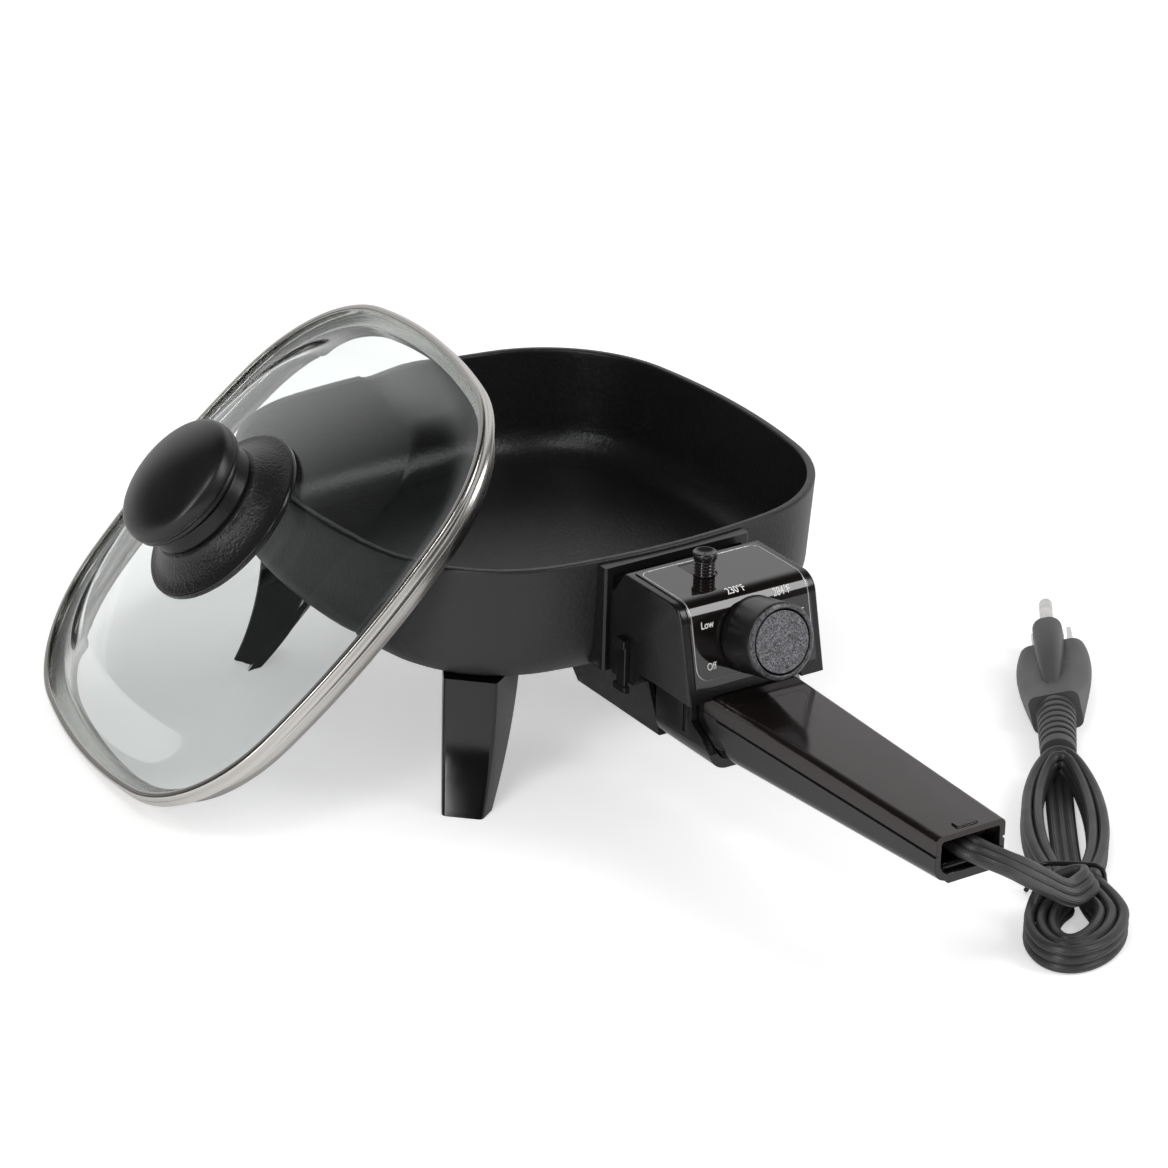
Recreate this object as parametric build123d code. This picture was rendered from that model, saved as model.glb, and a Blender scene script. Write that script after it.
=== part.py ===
"""Small four-legged electric skillet with a leaning glass lid, a dial box, one handle and a tied cord.

Millimetres, +Z up. The origin is on the table under the middle of the pan; the handle points along -Y.
"""
from build123d import *
from math import atan2, cos, radians, sin, sqrt, tan
import os

os.makedirs("parts", exist_ok=True)

# ---- driving sizes ------------------------------------------------------------------------------
FIT_GAP = 0.3            # seat clearance between pieces that don't touch face to face
RUN_GAP = 0.05           # radial clearance of a turning or guided shaft

PAN_HALF = 89.0          # centre to the rim at the middle of a side
PAN_CORNER = 54.3        # corner radius of the rim
PAN_BOW = 242.0          # radius of the bowed sides
PAN_DEPTH = 43.3         # rim to underside
PAN_WALL = 3.0
PAN_FLOOR = 4.0
WALL_LEAN = 3.0          # how far the wall leans in from rim to underside
BASE_FILLET = 15.0
RIM_ROUND = 0.9
LEG_HEIGHT = 44.7        # table to the underside of the pan

CHANNEL_WIDTH = 11.0     # rib under the floor that holds the element
CHANNEL_DEPTH = 4.0
ELEMENT_RADIUS = 3.3
ELEMENT_LOOP = PAN_HALF - 37.0      # half size of the element's loop
ELEMENT_BEND = 24.0
TERMINAL_HALF = 8.0      # half distance between the element's two ends
TERMINAL_BEND = 7.0
TERMINAL_REACH = 10.0    # ends past the pan's wall
PIN_RADIUS = 1.3
PIN_LENGTH = 7.0

LEG_AXIS = PAN_HALF - 10.0          # leg screw, along the pan's diagonal
LEG_TOP_WIDTH = 17.7
LEG_TIP_WIDTH = 13.6
LEG_TIP_OUT = LEG_AXIS + 23.0      # outer edge of the sole, along the diagonal
LEG_TIP_IN = LEG_AXIS + 13.5
LEG_TOP_OUT = LEG_AXIS + 12.0
LEG_TOP_IN = LEG_AXIS - 8.0
LEG_ROUND = 1.6
LEG_TAPER = 0.23         # how fast each side closes in towards the front
LEG_BULGE_OUT = 3.5      # how far the outer face bows out
LEG_BULGE_IN = 8.2       # how far the inner face bows out
LEG_WEB = 4.2            # wall left around the leg's hollow back
LEG_BOSS_RADIUS = 4.5
LEG_BOSS_DEPTH = 5.0

BOX_HALF = 26.5          # control box, half width
BOX_BACK = PAN_HALF + 5.0          # its back wall, from the pan's centre
BOX_TOP_BACK = BOX_BACK + 5.8      # where the chamfered back meets the top
BOX_FRONT = BOX_BACK + 44.0        # lower front edge
BOX_LOW = 56.5           # seam between housing and base
FACE_LEAN = 13.0         # degrees that the dial face leans back
BOX_WALL = 2.2
BOX_ROUND = 7.0
PANEL_THICK = 0.4
PANEL_HALF = 23.6
PANEL_BACK = BOX_TOP_BACK + 1.7
PANEL_LOW = 61.0

DIAL_HEIGHT = 74.2
DIAL_RADIUS = 12.8
DIAL_LENGTH = 17.0
SHAFT_RADIUS = 3.0
BUSH_RADIUS = 4.0
LAMP_X = -4.5
LAMP_Y = -(BOX_BACK + 18.8)
LAMP_RADIUS = 4.0
LAMP_BORE = 2.1
LAMP_HEIGHT = 8.2

BRACKET_HALF = 16.0      # channel under the pan that carries the handle
BRACKET_WALL = 1.8
BRACKET_LOW = 30.5
BRACKET_END = BOX_BACK + 13.0
BRACKET_START = ELEMENT_LOOP - 6.0

HANDLE_ROOT = BOX_BACK + 23.0      # start of the handle inside the box
HANDLE_LENGTH = 132.0
HANDLE_END = HANDLE_ROOT + HANDLE_LENGTH
HANDLE_ROOT_HALF = 17.0
HANDLE_END_HALF = 13.3
HANDLE_TOP_ROOT = 57.4
HANDLE_TOP_END = 56.2
HANDLE_LOW_ROOT = 34.8
HANDLE_LOW_END = 40.4
HANDLE_SEAM = 50.0
HANDLE_WALL = 2.2
HANDLE_TOP_ROUND = 2.2
HANDLE_LOW_ROUND = 5.0
COLLAR_WALL = 2.2
COLLAR_BACK = BOX_BACK + 15.5
COLLAR_FRONT = BOX_BACK + 46.0

CORD_RADIUS = 3.2
HANK_HEIGHT = 10.0
TIE_RADIUS = 0.8
PLUG_X, PLUG_Y = 135.0, -HANDLE_END + 122.5
PLUG_HEADING = 52.6
PLUG_ROLL = 15.0         # the plug lies on one wing, its ground pin leaning left
PLUG_AXIS = 12.0
PLUG_LENGTH = 49.5
RELIEF_LENGTH = 29.5
RELIEF_RADIUS = 6.8
RELIEF_AXIS = 8.9
RELIEF_SIDE = 0.9        # the relief starts this far right of the plug's axis
BLADE_PITCH = 12.7
BLADE_WIDTH = 6.35
BLADE_THICK = 1.5
BLADE_LENGTH = 18.0
GROUND_RADIUS = 2.38
GROUND_LENGTH = 21.5
GROUND_OFFSET = 11.9     # ground pin above the blades

LID_OVERHANG = 2.5       # the band stands out past the rim
BAND_SHEET = 0.6
BAND_LIP = 2.6           # width of the rolled lip over the glass
BAND_UPPER = 5.6         # height of the upper wall
BAND_SKIRT = 6.8         # height of the skirt that drops inside the rim
SKIRT_GAP = 0.5          # skirt to the inside of the rim
GLASS_THICK = 4.0
GLASS_LEDGE = 9.0        # flat flange inside the band
STEP_RISE = 7.0
STEP_RUN = 5.0
DOME_RISE = 10.0
LID_TILT = 45.1          # degrees from level, leaning on the rim
LID_AZIMUTH = 168.2      # compass direction that the outside of the lid faces
LID_TURN = 3.6
LID_Y = 16.0
KNOB_RADIUS = 23.8
KNOB_HEIGHT = 14.1
KNOB_DOME = 46.0         # ball radius of the grip's top
KNOB_ROUND = 2.4
NECK_RADIUS = 20.2
NECK_HEIGHT = 8.0
SKIRT_RADIUS = 32.3
SKIRT_HEIGHT = 8.6
KNOB_WALL = 2.4

# ---- sizes that follow --------------------------------------------------------------------------
FLOOR_Z = LEG_HEIGHT
RIM_Z = FLOOR_Z + PAN_DEPTH
ELEMENT_Z = FLOOR_Z - CHANNEL_DEPTH
BOX_TOP = RIM_Z - 0.1
SQRT_HALF = sqrt(0.5)


# ---- shared shapes ------------------------------------------------------------------------------
def bowed_square(inset, z):
    """Face at height z: four bowed sides tangent to four round corners, inset from the pan's rim."""
    half, corner, side = PAN_HALF - inset, PAN_CORNER - inset, PAN_BOW - inset
    middle = side - half
    centre = (sqrt(2 * (side - corner) ** 2 - middle ** 2) - middle) / 2
    join = atan2(centre, centre + middle)
    side_end = Vector(side * cos(join) - middle, side * sin(join))
    side_start = Vector(side_end.X, -side_end.Y)
    next_start = Vector(side_end.Y, side_end.X)
    corner_mid = Vector(centre + corner * SQRT_HALF, centre + corner * SQRT_HALF)
    quarter = [ThreePointArc(side_start, Vector(half, 0), side_end),
               ThreePointArc(side_end, corner_mid, next_start)]
    edges = [edge.rotate(Axis.Z, 90 * turn) for turn in range(4) for edge in quarter]
    return Pos(0, 0, z) * make_face(edges)


def bowed_block(inset_low, inset_high, low, high):
    """Solid between two bowed squares; a straight prism when both insets are equal."""
    if inset_low == inset_high:
        return extrude(bowed_square(inset_low, low), high - low)
    return loft([bowed_square(inset_low, low), bowed_square(inset_high, high)], ruled=True)


def lowest_edges(solid):
    """Edges around a solid's underside."""
    return solid.edges().group_by(Axis.Z)[0]


def pan_form(grow):
    """The pan's outside as one solid, grown by a clearance."""
    form = bowed_block(WALL_LEAN - grow, -grow, FLOOR_Z - grow, RIM_Z + grow)
    return fillet(lowest_edges(form), BASE_FILLET + grow)


def brick(x_low, x_high, y_low, y_high, z_low, z_high):
    """Box between three pairs of coordinates."""
    size = Box(x_high - x_low, y_high - y_low, z_high - z_low, align=(Align.MIN, Align.MIN, Align.MIN))
    return Pos(x_low, y_low, z_low) * size


def side_profile(points, half_width, shift=0.0):
    """Prism across X whose outline is a list of (y, z) points."""
    outline = make_face(Polyline([Vector(shift - half_width, y, z) for y, z in points], close=True))
    return extrude(outline, 2 * half_width, dir=(1, 0, 0))


def post(x, y, low, high, radius):
    """Upright round post between two heights."""
    return Pos(x, y, low) * Cylinder(radius, high - low, align=(Align.CENTER, Align.CENTER, Align.MIN))


def turned(points):
    """Solid of revolution about Z from (radius, height) points."""
    outline = make_face(Polyline([Vector(r, 0, z) for r, z in points], close=True))
    return revolve(outline, Axis.Z)


def screw_up(x, y, seat, length, radius, head_radius, head_height):
    """Pan-head screw driven upwards; seat is where the head bears."""
    body = post(x, y, seat, seat + length, radius)
    head = post(x, y, seat - head_height, seat, head_radius)
    head = fillet(lowest_edges(head), head_height * 0.4)
    slot = head_radius * 0.2
    cross = brick(x - head_radius * 0.6, x + head_radius * 0.6, y - slot, y + slot,
                  seat - head_height - 1, seat - head_height * 0.5)
    return body + head - cross


def tube(points, radius):
    """Round cord through a route; prints its bends and compares its volume with section x length."""
    radii = []
    for before, here, after in zip(points, points[1:], points[2:]):
        run_in = Vector(*here) - Vector(*before)
        run_out = Vector(*after) - Vector(*here)
        turn = run_in.get_angle(run_out)
        radii.append(0.45 * min(run_in.length, run_out.length) / tan(radians(turn / 2)))
    path = FilletPolyline(*points, radius=radii)
    section = Plane(origin=path @ 0, z_dir=path % 0) * Circle(radius)
    solid = sweep(section, path=path)
    ideal = path.length * 3.14159265 * radius ** 2
    print("cord radii", [round(r, 1) for r in radii], "length", round(path.length, 1),
          "volume ratio", round(solid.volume / ideal, 4))
    return solid


def save(name, solid):
    """Write one sub-part."""
    export_step(solid, f"parts/{name}.step")


# ---- pan, element and legs ----------------------------------------------------------------------
CORNERS = {"leg_handle_left": 226.2, "leg_handle_right": 313.8, "leg_far_right": 46.2, "leg_far_left": 133.8}


def element_path(exit_y):
    """Rounded loop under the floor, open towards the handle, with both ends side by side."""
    loop, gate = ELEMENT_LOOP, TERMINAL_HALF
    corners = [(-gate, exit_y), (-gate, -loop), (-loop, -loop), (-loop, loop),
               (loop, loop), (loop, -loop), (gate, -loop), (gate, exit_y)]
    radii = [TERMINAL_BEND] + [ELEMENT_BEND] * 4 + [TERMINAL_BEND]
    return FilletPolyline(*[(x, y, ELEMENT_Z) for x, y in corners], radius=radii)


def swept_round(path, radius):
    """Round bar along a path."""
    return sweep(Plane(origin=path @ 0, z_dir=path % 0) * Circle(radius), path=path)


ELEMENT_EXIT = -(PAN_HALF + TERMINAL_REACH)
CHANNEL_EXIT = -(PAN_HALF - WALL_LEAN - BASE_FILLET)
BRACKET_SCREW_Y = -(ELEMENT_LOOP + 13.0)
BRACKET_SEAT = BRACKET_LOW + BRACKET_WALL


def pan():
    """Cast pan: leaning bowed walls, round base edge, element channel and screw bosses below."""
    outside = pan_form(0)
    inset = WALL_LEAN * (1 - PAN_FLOOR / PAN_DEPTH)
    hollow = bowed_block(inset + PAN_WALL, PAN_WALL, FLOOR_Z + PAN_FLOOR, RIM_Z)
    hollow = fillet(lowest_edges(hollow), BASE_FILLET - PAN_WALL)
    body = outside - hollow
    body = fillet(body.edges().group_by(Axis.Z)[-1], RIM_ROUND)
    channel_path = element_path(CHANNEL_EXIT)
    channel_section = Plane(origin=channel_path @ 0, x_dir=(1, 0, 0), z_dir=channel_path % 0)
    channel = sweep(channel_section * Rectangle(CHANNEL_WIDTH, 2 * CHANNEL_DEPTH), path=channel_path)
    channel &= brick(-PAN_HALF, PAN_HALF, -PAN_HALF, PAN_HALF, ELEMENT_Z, FLOOR_Z + 1)
    body += channel
    for angle in CORNERS.values():
        x, y = LEG_AXIS * cos(radians(angle)), LEG_AXIS * sin(radians(angle))
        body += post(x, y, FLOOR_Z - LEG_BOSS_DEPTH, FLOOR_Z + 1, LEG_BOSS_RADIUS)
        body -= post(x, y, FLOOR_Z - LEG_BOSS_DEPTH, FLOOR_Z + PAN_FLOOR / 2, LEG_SCREW_RADIUS + RUN_GAP)
    body += post(0, BRACKET_SCREW_Y, BRACKET_SEAT, FLOOR_Z + 1, LEG_BOSS_RADIUS)
    body -= post(0, BRACKET_SCREW_Y, BRACKET_SEAT, FLOOR_Z + PAN_FLOOR / 2, LEG_SCREW_RADIUS + RUN_GAP)
    return body - swept_round(element_path(ELEMENT_EXIT), ELEMENT_RADIUS + RUN_GAP)


def heating_element():
    """Sheathed tube pressed into the channel, with a thin cold pin at each end."""
    bar = swept_round(element_path(ELEMENT_EXIT), ELEMENT_RADIUS)
    for x in (-TERMINAL_HALF, TERMINAL_HALF):
        pin = Pos(x, ELEMENT_EXIT, ELEMENT_Z) * Rot(90, 0, 0) * Cylinder(
            PIN_RADIUS, PIN_LENGTH, align=(Align.CENTER, Align.CENTER, Align.MIN))
        bar += pin
    return bar


def terminal_insulators():
    """Ceramic beads over the element's two ends."""
    beads = []
    for x in (-TERMINAL_HALF, TERMINAL_HALF):
        ring = Cylinder(ELEMENT_RADIUS, PIN_LENGTH / 2, align=(Align.CENTER, Align.CENTER, Align.MIN))
        ring -= Cylinder(PIN_RADIUS + RUN_GAP, PIN_LENGTH, align=(Align.CENTER, Align.CENTER, Align.MIN))
        beads.append(Pos(x, ELEMENT_EXIT, ELEMENT_Z) * Rot(90, 0, 0) * ring)
    return Compound(children=beads)


LEG_SCREW_RADIUS = 1.8
LEG_HEAD_RADIUS = 3.4
LEG_HEAD_HEIGHT = 2.4
LEG_SEAT = FLOOR_Z - LEG_BOSS_DEPTH - FIT_GAP - 3.5


def leg(angle):
    """Sabre-curved moulded leg, wide face outwards, hollow at the back round its screw."""
    mid = LEG_HEIGHT * 0.47
    outer = ThreePointArc((LEG_TIP_OUT, 0), (LEG_TOP_OUT + LEG_BULGE_OUT, mid), (LEG_TOP_OUT, LEG_HEIGHT))
    inner = ThreePointArc((LEG_TOP_IN, LEG_HEIGHT), (LEG_TOP_IN + LEG_BULGE_IN, mid), (LEG_TIP_IN, 0))
    side = make_face([outer, Line((LEG_TOP_OUT, LEG_HEIGHT), (LEG_TOP_IN, LEG_HEIGHT)), inner,
                      Line((LEG_TIP_IN, 0), (LEG_TIP_OUT, 0))])
    blade = extrude(Plane.XZ * side, 2 * LEG_TOP_WIDTH, both=True)
    tip, top = LEG_TIP_WIDTH / 2, LEG_TOP_WIDTH / 2
    faces = []
    for x in (LEG_TOP_IN - 1, LEG_TIP_OUT + 2):
        low_half = tip + LEG_TAPER * (LEG_TIP_OUT - x)
        high_half = top + LEG_TAPER * (LEG_TOP_OUT - x)
        corners = [(-low_half, 0), (low_half, 0), (high_half, LEG_HEIGHT), (-high_half, LEG_HEIGHT)]
        faces.append(Pos(x, 0, 0) * (Plane.YZ * make_face(Polyline(corners, close=True))))
    blade &= loft(faces, ruled=True)
    blade = fillet(blade.edges().filter_by(lambda edge: edge.length > LEG_HEIGHT * 0.95), LEG_ROUND)
    pocket_half = top - LEG_WEB
    well = brick(LEG_TOP_IN - 1, LEG_AXIS + LEG_HEAD_RADIUS + 1, -pocket_half, pocket_half, mid * 0.6, LEG_SEAT)
    blade -= well
    blade -= post(LEG_AXIS, 0, FLOOR_Z - LEG_BOSS_DEPTH - FIT_GAP, FLOOR_Z + 1, LEG_BOSS_RADIUS + FIT_GAP)
    blade -= post(LEG_AXIS, 0, LEG_SEAT - 1, FLOOR_Z, LEG_SCREW_RADIUS + FIT_GAP)
    return Rot(0, 0, angle) * blade


def leg_screws():
    """One pan-head screw up through each leg into the pan."""
    length = FLOOR_Z + PAN_FLOOR / 2 - 1 - LEG_SEAT
    screw = screw_up(LEG_AXIS, 0, LEG_SEAT, length, LEG_SCREW_RADIUS, LEG_HEAD_RADIUS, LEG_HEAD_HEIGHT)
    return Compound(children=[Rot(0, 0, angle) * screw for angle in CORNERS.values()])


# ---- bracket and wall frame ---------------------------------------------------------------------
BRACKET_SCREW_2_Y = -(BOX_BACK + 8.0)
BASE_FLOOR = 54.2        # underside of the control base


def bracket_outline(inset):
    """Side outline of the channel, as (y, z) points, its floor inset for the inner cut."""
    low = BRACKET_LOW + inset
    return [(-BRACKET_START - inset, FLOOR_Z + 4), (-BRACKET_START - inset, FLOOR_Z - 1),
            (-BRACKET_START - 13 - inset, low), (-BRACKET_END - inset, low),
            (-BRACKET_END + 8 - inset, FLOOR_Z + 4), (-BOX_TOP_BACK + 1 - inset, BASE_FLOOR - 4.5),
            (-BOX_BACK - 0.5 - inset, BASE_FLOOR - 4.5), (-BOX_BACK + 1 - inset, FLOOR_Z + 4)]


def handle_bracket():
    """Folded channel screwed under the pan; it covers the element's ends and carries the handle."""
    channel = side_profile(bracket_outline(0), BRACKET_HALF)
    channel -= side_profile(bracket_outline(BRACKET_WALL), BRACKET_HALF - BRACKET_WALL)
    channel -= brick(-BRACKET_HALF + BRACKET_WALL, BRACKET_HALF - BRACKET_WALL, -BRACKET_END - 20,
                     -BRACKET_END + 20, BRACKET_SEAT, BASE_FLOOR)
    channel -= pan_form(FIT_GAP)
    channel -= swept_channel_space()
    for y in (BRACKET_SCREW_Y, BRACKET_SCREW_2_Y):
        channel -= post(0, y, BRACKET_LOW - 1, BRACKET_SEAT + 1, LEG_SCREW_RADIUS + FIT_GAP)
    return max(channel.solids(), key=lambda solid: solid.volume)


def swept_channel_space():
    """Room for the element's channel where the bracket's walls cross it."""
    half = ELEMENT_LOOP + CHANNEL_WIDTH / 2 + FIT_GAP
    return brick(-half, half, -half, -ELEMENT_LOOP + CHANNEL_WIDTH / 2 + FIT_GAP,
                 ELEMENT_Z - ELEMENT_RADIUS - FIT_GAP, FLOOR_Z + 1)


def bracket_screws():
    """Two screws up through the channel: one into the pan, one into the control base."""
    screws = [screw_up(0, y, BRACKET_LOW, 9.0, LEG_SCREW_RADIUS, LEG_HEAD_RADIUS, LEG_HEAD_HEIGHT)
              for y in (BRACKET_SCREW_Y, BRACKET_SCREW_2_Y)]
    return Compound(children=screws)


FRAME_HALF = BOX_HALF + 1.9
FRAME_BAR = 2.8          # height of the bar across the frame's top
FRAME_LOW = 50.5
RIB_FRONT = PAN_HALF + 2.7         # front of the ribs, from the pan's centre


def wall_frame():
    """Moulded frame on the pan's wall: two upright ribs either side of the box and a low back plate."""
    opening = BOX_HALF + FIT_GAP
    frame = brick(-FRAME_HALF, FRAME_HALF, -RIB_FRONT, -PAN_HALF + 8, FRAME_LOW, RIM_Z - 1)
    frame += brick(-BOX_HALF + 1, BOX_HALF - 1, -BOX_BACK + FIT_GAP, -PAN_HALF + 8, FRAME_LOW, RIM_Z - 9)
    frame -= brick(-opening + 1.5, opening - 1.5, -BOX_BACK - 2, -PAN_HALF + 9, RIM_Z - 9, RIM_Z - 1 - FRAME_BAR)
    frame -= brick(-BRACKET_HALF - 1, BRACKET_HALF + 1, -BOX_BACK - 2, -PAN_HALF + 9, FRAME_LOW - 1,
                   BASE_FLOOR)
    frame -= pan_form(FIT_GAP)
    edges = frame.edges().filter_by(lambda edge: abs(abs(edge.center().X) - FRAME_HALF) < 0.01
                                    and abs(edge.center().Y + RIB_FRONT) < 0.01)
    return fillet(edges, 1.0)


# ---- control box --------------------------------------------------------------------------------
def face_y(z):
    """Y of the leaning dial face at height z."""
    return -BOX_FRONT + (z - BOX_LOW) * tan(radians(FACE_LEAN))


def box_form(inset, low):
    """Outside of the control box, inset all round, from height low up."""
    lean = inset / cos(radians(FACE_LEAN))
    top = BOX_TOP - inset
    back = -BOX_BACK - inset
    points = [(back, low), (back, BOX_TOP - 8.0 - inset * 0.4), (-BOX_TOP_BACK - inset * 0.4, top),
              (face_y(top) + lean, top), (face_y(low) + lean, low)]
    form = side_profile(points, BOX_HALF - inset)
    crown = form.edges().filter_by(Axis.X).group_by(Axis.Z)[-1].sort_by(Axis.Y)[0]
    return fillet(crown, BOX_ROUND - inset)


DIAL_Y = face_y(DIAL_HEIGHT)
DIAL_FRAME = Plane(origin=(0, DIAL_Y, DIAL_HEIGHT), x_dir=(1, 0, 0),
                   z_dir=(0, -cos(radians(FACE_LEAN)), sin(radians(FACE_LEAN))))


def on_face(solid):
    """Place a solid built about the dial's axis, its Z outwards, onto the dial face."""
    return DIAL_FRAME.location * solid


def disc(radius, low, high):
    """Round slab about the dial's axis."""
    return Pos(0, 0, low) * Cylinder(radius, high - low, align=(Align.CENTER, Align.CENTER, Align.MIN))


def control_housing():
    """Upper shell of the box: open below, holes for the bush and lamp, a gate for the handle."""
    shell = box_form(0, BOX_LOW)
    side_edges = shell.edges().filter_by(lambda edge: abs(abs(edge.center().X) - BOX_HALF) < 0.01
                                         and edge.center().Z > BOX_LOW + 1
                                         and edge.center().Y < -BOX_BACK - 6)
    shell = fillet(side_edges, 0.9)
    shell -= box_form(BOX_WALL, BOX_LOW - 1)
    shell -= on_face(disc(BUSH_RADIUS + RUN_GAP, -2 * BOX_WALL, 1))
    shell -= post(LAMP_X, LAMP_Y, BOX_TOP - 2 * BOX_WALL, BOX_TOP + 1, LAMP_RADIUS - 1)
    gate = HANDLE_ROOT_HALF + FIT_GAP
    shell -= brick(-gate, gate, -BOX_FRONT - 5, -BOX_FRONT + 12, BOX_LOW - 1, HANDLE_TOP_ROOT + FIT_GAP)
    return shell


def dial_panel():
    """Thin glossy plate wrapped over the top and the dial face, notched behind the lamp."""
    plate = box_form(-PANEL_THICK, PANEL_LOW) - box_form(0, PANEL_LOW - 1)
    plate &= brick(-PANEL_HALF, PANEL_HALF, -BOX_FRONT - 5, -PANEL_BACK, PANEL_LOW, BOX_TOP + 5)
    plate -= on_face(disc(BUSH_RADIUS + 3.5, -1, 2))
    plate -= post(LAMP_X, LAMP_Y, BOX_TOP - 1, BOX_TOP + 2, LAMP_RADIUS + FIT_GAP)
    notch = LAMP_RADIUS + FIT_GAP
    plate -= brick(LAMP_X - notch, LAMP_X + notch, LAMP_Y, -PANEL_BACK + 1, BOX_TOP - 1, BOX_TOP + 2)
    return max(plate.solids(), key=lambda solid: solid.volume)


def indicator_lens():
    """Ridged lens standing on the box over the lamp, hollow from below, dished on top."""
    ridge = LAMP_HEIGHT / 7
    top = BOX_TOP + LAMP_HEIGHT
    points = [(LAMP_BORE, BOX_TOP - 5), (LAMP_RADIUS - 1.2, BOX_TOP - 5), (LAMP_RADIUS - 1.2, BOX_TOP)]
    for step in range(5):
        low = BOX_TOP + step * ridge
        points += [(LAMP_RADIUS - 0.4, low), (LAMP_RADIUS - 0.4, low + ridge * 0.6),
                   (LAMP_RADIUS - 0.9, low + ridge * 0.6), (LAMP_RADIUS - 0.9, low + ridge)]
    points += [(LAMP_RADIUS, BOX_TOP + 5 * ridge), (LAMP_RADIUS, top - 0.6), (LAMP_RADIUS - 0.6, top),
               (LAMP_RADIUS - 1.3, top), (LAMP_RADIUS - 1.9, top - 0.6), (0, top - 0.9), (0, top - 2.4),
               (LAMP_BORE, top - 2.8)]
    return Pos(LAMP_X, LAMP_Y, 0) * turned(points)


def neon_lamp():
    """Small glow lamp inside the lens."""
    bulb = post(LAMP_X, LAMP_Y, BOX_TOP - 4.5, BOX_TOP + 4.6, LAMP_BORE - FIT_GAP)
    bulb = fillet(bulb.edges().group_by(Axis.Z)[-1], 1.5)
    leads = [post(LAMP_X + x, LAMP_Y, BOX_TOP - 9, BOX_TOP - 4.5, 0.4) for x in (-0.9, 0.9)]
    return bulb + leads


BASE_BACK = BOX_BACK
BASE_END = COLLAR_BACK - FIT_GAP
BASE_SKIRT = 5.5


def control_base():
    """Shallow tray that closes the box behind the handle, with a skirt and a screw post."""
    tray = brick(-BOX_HALF, BOX_HALF, -BASE_END, -BASE_BACK, BASE_FLOOR - BASE_SKIRT + 2, BOX_LOW)
    tray = chamfer(tray.edges().filter_by(Axis.X).group_by(Axis.Z)[0].sort_by(Axis.Y)[0], 3.0)
    inner = BOX_HALF - BOX_WALL
    tray -= brick(-inner, inner, -BASE_END + BOX_WALL, -BASE_BACK - BOX_WALL,
                  BASE_FLOOR - BASE_SKIRT, BASE_FLOOR)
    clear = BRACKET_HALF + FIT_GAP
    tray -= brick(-clear, clear, -BASE_END - 1, -BASE_BACK + 1, BASE_FLOOR - BASE_SKIRT, BASE_FLOOR - 0.5)
    tray += post(0, BRACKET_SCREW_2_Y, BRACKET_SEAT, BASE_FLOOR + 1, LEG_BOSS_RADIUS)
    tray -= post(0, BRACKET_SCREW_2_Y, BRACKET_SEAT - 1, BASE_FLOOR - 2, LEG_SCREW_RADIUS + RUN_GAP)
    return tray


LATCH_MID = BOX_BACK + 7.0


def side_latches():
    """Two snap hooks that hold the housing down on the base."""
    hooks = []
    for side in (-1, 1):
        arm = brick(0, 1.6, -LATCH_MID - 2.5, -LATCH_MID + 2.5, BASE_FLOOR - BASE_SKIRT - 1.5, BOX_LOW + 9.5)
        arm += brick(0, 2.2, -LATCH_MID - 2.5, -LATCH_MID + 2.5, BOX_LOW + 6.5, BOX_LOW + 9.5)
        arm += brick(0, 2.2, -LATCH_MID - 3.5, -LATCH_MID + 3.5, BASE_FLOOR - BASE_SKIRT - 1.5, BASE_FLOOR - BASE_SKIRT + 1)
        arm = Pos(BOX_HALF, 0, 0) * arm
        hooks.append(arm if side > 0 else mirror(arm, Plane.YZ))
    return Compound(children=hooks)


# ---- thermostat and dial ------------------------------------------------------------------------
def thermostat_frame():
    """Steel plate behind the face with the threaded bush that the shaft turns in."""
    plate = Box(26, 17, 1.2, align=(Align.CENTER, Align.CENTER, Align.MAX))
    frame = Pos(0, -3.2, -BOX_WALL) * plate + disc(BUSH_RADIUS, -BOX_WALL - 1.2, 2.8)
    return on_face(frame - disc(SHAFT_RADIUS + RUN_GAP, -10, 10))


def bush_nut():
    """Hexagon nut that clamps the bush to the face."""
    nut = extrude(RegularPolygon(6.4, 6), 1.8) - disc(BUSH_RADIUS + RUN_GAP, -1, 5)
    return on_face(nut)


STACK_U = 8.0
STACK_STEP = 5.0


def thermostat_stack():
    """Two ceramic spacers, one each side of the bimetal blade."""
    top = -BOX_WALL - 1.2
    blocks = []
    for level in range(2):
        low = top - (level + 1) * STACK_STEP - level * 0.8
        blocks.append(on_face(Pos(STACK_U, -4, low) * extrude(RectangleRounded(9, 9, 1.5), STACK_STEP)))
    return Compound(children=blocks)


def bimetal_blade():
    """Bimetal strip clamped in the stack and reaching behind the shaft, with a contact button."""
    low = -BOX_WALL - 1.2 - STACK_STEP - 0.8
    strip = Pos(-2.5, -4, low) * Box(30, 5.5, 0.8, align=(Align.CENTER, Align.CENTER, Align.MIN))
    button = Pos(-15, -4, low) * Cylinder(1.8, 1.2, align=(Align.CENTER, Align.CENTER, Align.MAX))
    return on_face(strip + button)


def dial_shaft():
    """Control shaft with a flat for the knob."""
    shaft = disc(SHAFT_RADIUS, -BOX_WALL - 1.2 - STACK_STEP + FIT_GAP, DIAL_LENGTH - 5)
    flat = brick(-SHAFT_RADIUS, SHAFT_RADIUS, SHAFT_RADIUS - 0.9, SHAFT_RADIUS + 1, 4, DIAL_LENGTH)
    return on_face(shaft - flat)


DIAL_LIFT = PANEL_THICK + 0.4
INSERT_DEPTH = 0.9


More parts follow.
